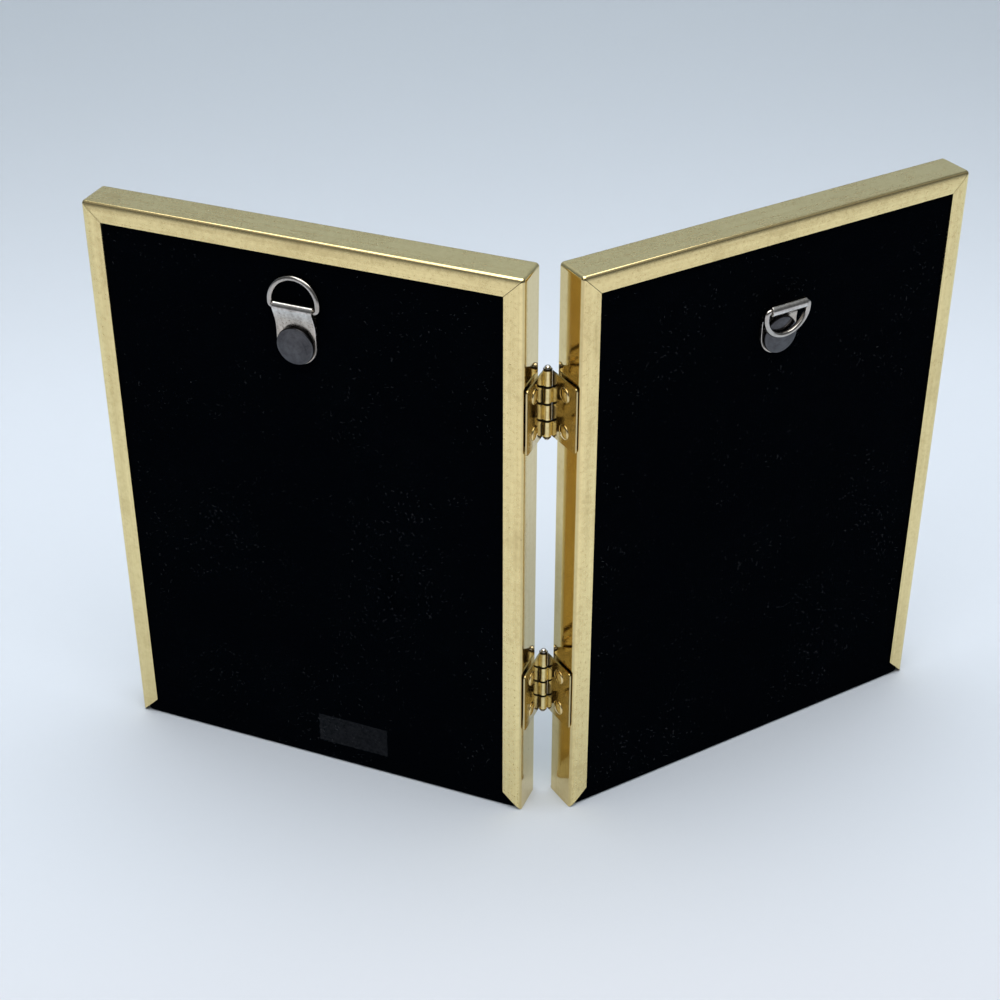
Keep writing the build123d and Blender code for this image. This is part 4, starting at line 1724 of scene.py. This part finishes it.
@dataclass
class ButtHinges:
    """The two hinges: leaves, pins, and the rivets that hold the leaves to the walls."""

    half_width: float = 66.6
    sheet: float = 0.6
    leaf_standoff: float = 0.5
    leaf_thickness: float = 0.45
    leaf_ease: float = 0.1
    axis_y: float = -23.493
    lower_height: float = 41.8
    upper_height: float = 138.5
    pin_half: float = 11.0
    pin_radius: float = 0.8
    pin_head_radius: float = 1.05
    pin_head_height: float = 0.9
    pin_head_rub: float = 0.4
    pin_steps: int = 40
    rivet_depth: float = 5.8
    rivet_pitch: float = 11.6
    head_radius: float = 2.3
    head_height: float = 0.7
    shank_radius: float = 1.1
    shoulder_radius: float = 1.7
    tail_radius: float = 1.7
    tail_height: float = 0.5

    def _height(self, storey: Storey) -> float:
        """Height of a hinge's middle above the table."""
        return self.lower_height if storey is Storey.LOWER else self.upper_height

    def _pin_line(self) -> List[Place]:
        """Profile of a pin: a rod with a low dome at each end, the rod painted dark as the shade in
        the gaps between the knuckles.

        Returns:
            Points for turned_mesh.
        """
        dome = (self.pin_head_radius, self.pin_head_height, self.pin_head_rub)
        top = dome_line(self.pin_half, *dome)
        # Painted shade: the rod takes the darkest value, so the gaps between knuckles show dark.
        top.append((self.pin_half, self.pin_radius, -1.0))
        return top + [(-along, radius, worn) for along, radius, worn in reversed(top)]

    def build(self, tree: RivetTree, finishes: Finishes) -> None:
        """Build the hinges and settle them on their bodies.

        Args:
            tree: Tree that places the rivets.
            finishes: The object's materials.
        """
        for storey in Storey:
            node = f"{storey.value}_hinge_pin"
            middle = Vector((0.0, self.axis_y, self._height(storey))) * MM
            turned = turned_mesh(self._pin_line(), middle, UP, self.pin_steps)
            rod = keep_mesh(f"{node}_rod", turned, finishes.nickel)
            settle(rod, "left_frame", "hinge_brass", node)
            for side in Side:
                node = f"{storey.value}_hinge_{side.value}_leaf"
                plate = SolidCopy(node, side, self.leaf_ease)
                leaf = plate.build(f"{node}_plate", finishes.leaf_brass[side])
                settle(leaf, f"{side.value}_frame", "hinge_brass", node)
        for side in Side:
            self._rivets(side, tree, finishes.rivet_brass)

    def _rivets(self, side: Side, tree: RivetTree, material: Material) -> None:
        """Place the four rivets of one frame's leaves.

        Args:
            side: The frame.
            tree: Tree that places the rivets.
            material: Their brass.
        """
        plane = FacePlane(side)
        rise = self.leaf_standoff + self.leaf_thickness
        seat = side.hand * (self.half_width + rise)
        points, nodes = [], []
        for storey in Storey:
            for count, step in enumerate((-0.5, 0.5), start=1):
                height = self._height(storey) + step * self.rivet_pitch
                points.append(plane.at(seat, height, self.rivet_depth))
                nodes.append(f"{storey.value}_hinge_{side.value}_rivet_{count}")
        sizes = {
            "Head_Radius": self.head_radius,
            "Head_Height": self.head_height,
            "Tail_Radius": self.tail_radius,
            "Tail_Height": self.tail_height,
            "Shank_Radius": self.shank_radius,
            "Grip": rise + self.sheet,
            "Shoulder_Radius": self.shoulder_radius,
            "Shoulder_Height": self.leaf_standoff,
            "Shoulder_Drop": self.leaf_thickness,
        }
        metres = {key: size * MM for key, size in sizes.items()}
        base = base_mesh(f"{side.value}_rivet_places", points)
        outward = plane.across * side.hand
        rivets = tree.grow(f"{side.value}_leaf_rivets", base, material, Outward=outward, **metres)
        settle(rivets, f"{side.value}_frame", "hinge_brass", *nodes)


@dataclass
class PictureFrame:
    """One frame: its strip and sill, the glazing, and the sliding back."""

    side: Side
    lint_seed: int
    glass_ease: float = 0.25
    sill_ease: float = 0.08

    def build(self, lint: LintTree, finishes: Finishes) -> None:
        """Build the frame's pieces and settle them on their bodies.

        Args:
            lint: Tree that scatters fibres on the velvet.
            finishes: The object's materials.
        """
        name = self.side.value
        strip = ChannelStrip(self.side).build(finishes.strip_brass)
        settle(strip, f"{name}_frame", "frame_brass", f"{name}_frame_channel")
        node = f"{name}_bottom_rail"
        rail = SolidCopy(node, self.side, self.sill_ease, Grain.LEVEL)
        sill = rail.build(f"{name}_sill_rail", finishes.strip_brass)
        settle(sill, f"{name}_frame", "frame_brass", node)
        node = f"{name}_glass"
        glass = SolidCopy(node, self.side, self.glass_ease)
        pane = glass.build(f"{name}_glass_pane", finishes.glass)
        settle(pane, f"{name}_frame", "glass", node)
        velvet = VelvetBack(self.side)
        wrap = velvet.build(finishes.velvet[self.side])
        settle(wrap, f"{name}_back", "velvet", f"{name}_velvet_cover")
        fluff = velvet.scatter(lint, finishes.lint, self.lint_seed)
        settle(fluff, f"{name}_back", "velvet")
        dressed = {"print_card": finishes.card, "filler_pad": finishes.kraft}
        dressed["back_board"] = finishes.hardboard
        for part, material in dressed.items():
            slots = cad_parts[f"{name}_{part}"].data.materials
            slots.clear()
            slots.append(material)


@dataclass(frozen=True)
class SoftLamp:
    """One soft square lamp, in metres and watts."""

    name: str
    place: Place
    aim: Place
    size: float
    power: float

    def hang(self) -> None:
        """Hang the lamp, turned to its aim."""
        data = bpy.data.lights.new(self.name, "AREA")
        data.size = self.size
        data.energy = self.power
        lamp = new_piece(self.name, data)
        lamp.location = self.place
        way = Vector(self.aim) - Vector(self.place)
        lamp.rotation_euler = way.to_track_quat("-Z", "Y").to_euler()


@dataclass
class Studio:
    """Paper sweep, soft lamps and the camera, in metres."""

    half_width: float = 6.0
    front: float = -9.0
    bend_start: float = 0.22
    bend_radius: float = 0.35
    rise: float = 2.6
    bend_steps: int = 24
    room_dark: Colour = (0.13, 0.136, 0.142, 1.0)
    room_light: Colour = (0.42, 0.435, 0.45, 1.0)
    room_low: float = 0.45
    room_high: float = 0.92
    camera_place: Place = (-0.05097, -0.49218, 0.41277)
    camera_way: Place = (0.06760, 0.83583, -0.54482)
    view_angle: float = math.radians(28.37)
    sensor: float = 36.0
    overhead: SoftLamp = SoftLamp("overhead_lamp", (0.0, -0.14, 1.3), (0.0, -0.05, 0.0), 1.35, 17.0)
    fill: SoftLamp = SoftLamp("front_lamp", (-0.7, -1.3, 1.2), (0.0, 0.0, 0.1), 1.0, 1.6)

    def paper(self, material: Material) -> None:
        """Lay the paper: flat under the frame, then curved up behind it.

        Args:
            material: Its material.
        """
        line = [(self.front, 0.0)]
        for angle in sweep(0.0, QUARTER, self.bend_steps):
            out = self.bend_start + self.bend_radius * math.sin(angle)
            line.append((out, self.bend_radius * (1.0 - math.cos(angle))))
        line.append((self.bend_start + self.bend_radius, self.rise))
        bm = bmesh.new()
        ends = (-self.half_width, self.half_width)
        skin(bm, [[bm.verts.new((x, y, z)) for x in ends] for y, z in line])
        for face in bm.faces:
            face.smooth = True
        keep_mesh("paper_sweep", bm, material)

    def light(self) -> None:
        """Set the even light of the room and the lamps."""
        world = bpy.data.worlds.new("room")
        world.use_nodes = True
        wiring = Wiring(world.node_tree)
        height = wiring.parts(wiring.read("ShaderNodeTexCoord", result="Generated"))[2]
        share = wiring.span(height, self.room_low, self.room_high)
        sky = world.node_tree.nodes["Background"]
        wiring.feed(wiring.blend(share, self.room_dark, self.room_light), sky.inputs["Color"])
        bpy.context.scene.world = world
        self.overhead.hang()
        self.fill.hang()

    def camera(self) -> None:
        """Set the camera at the photograph's view."""
        data = bpy.data.cameras.new("camera")
        data.sensor_width = self.sensor
        data.sensor_fit = "AUTO"
        data.angle = self.view_angle
        data.clip_start = 0.01
        view = new_piece("camera", data)
        view.location = self.camera_place
        view.rotation_euler = Vector(self.camera_way).to_track_quat("-Z", "Y").to_euler()
        bpy.context.scene.camera = view

    def build(self, material: Material) -> None:
        """Set up the whole studio.

        Args:
            material: Material of the paper.
        """
        self.paper(material)
        self.light()
        self.camera()
        bpy.context.scene.view_settings.view_transform = "Standard"


def main() -> None:
    """Build the object and its studio."""
    logging.basicConfig(level=logging.INFO, format="%(name)s: %(message)s")
    finishes = Finishes()
    lint, wire, rivets = LintTree(), WireTree(), RivetTree()
    PictureFrame(Side.LEFT, lint_seed=7).build(lint, finishes)
    PictureFrame(Side.RIGHT, lint_seed=19).build(lint, finishes)
    ButtHinges().build(rivets, finishes)
    standing = StrapHanger(
        Side.LEFT, shift=-0.8, rivet_height=149.7,
        bar_off=1.6, bar_up=11.5, rest_off=1.0, turned_up=True,
    )
    hanging = StrapHanger(
        Side.RIGHT, shift=-0.2, rivet_height=147.8,
        bar_off=4.32442, bar_up=9.8012, rest_off=3.6, turned_up=False,
    )
    standing.build(wire, finishes)
    hanging.build(wire, finishes)
    Studio().build(finishes.paper)


if __name__ == "__main__":
    main()
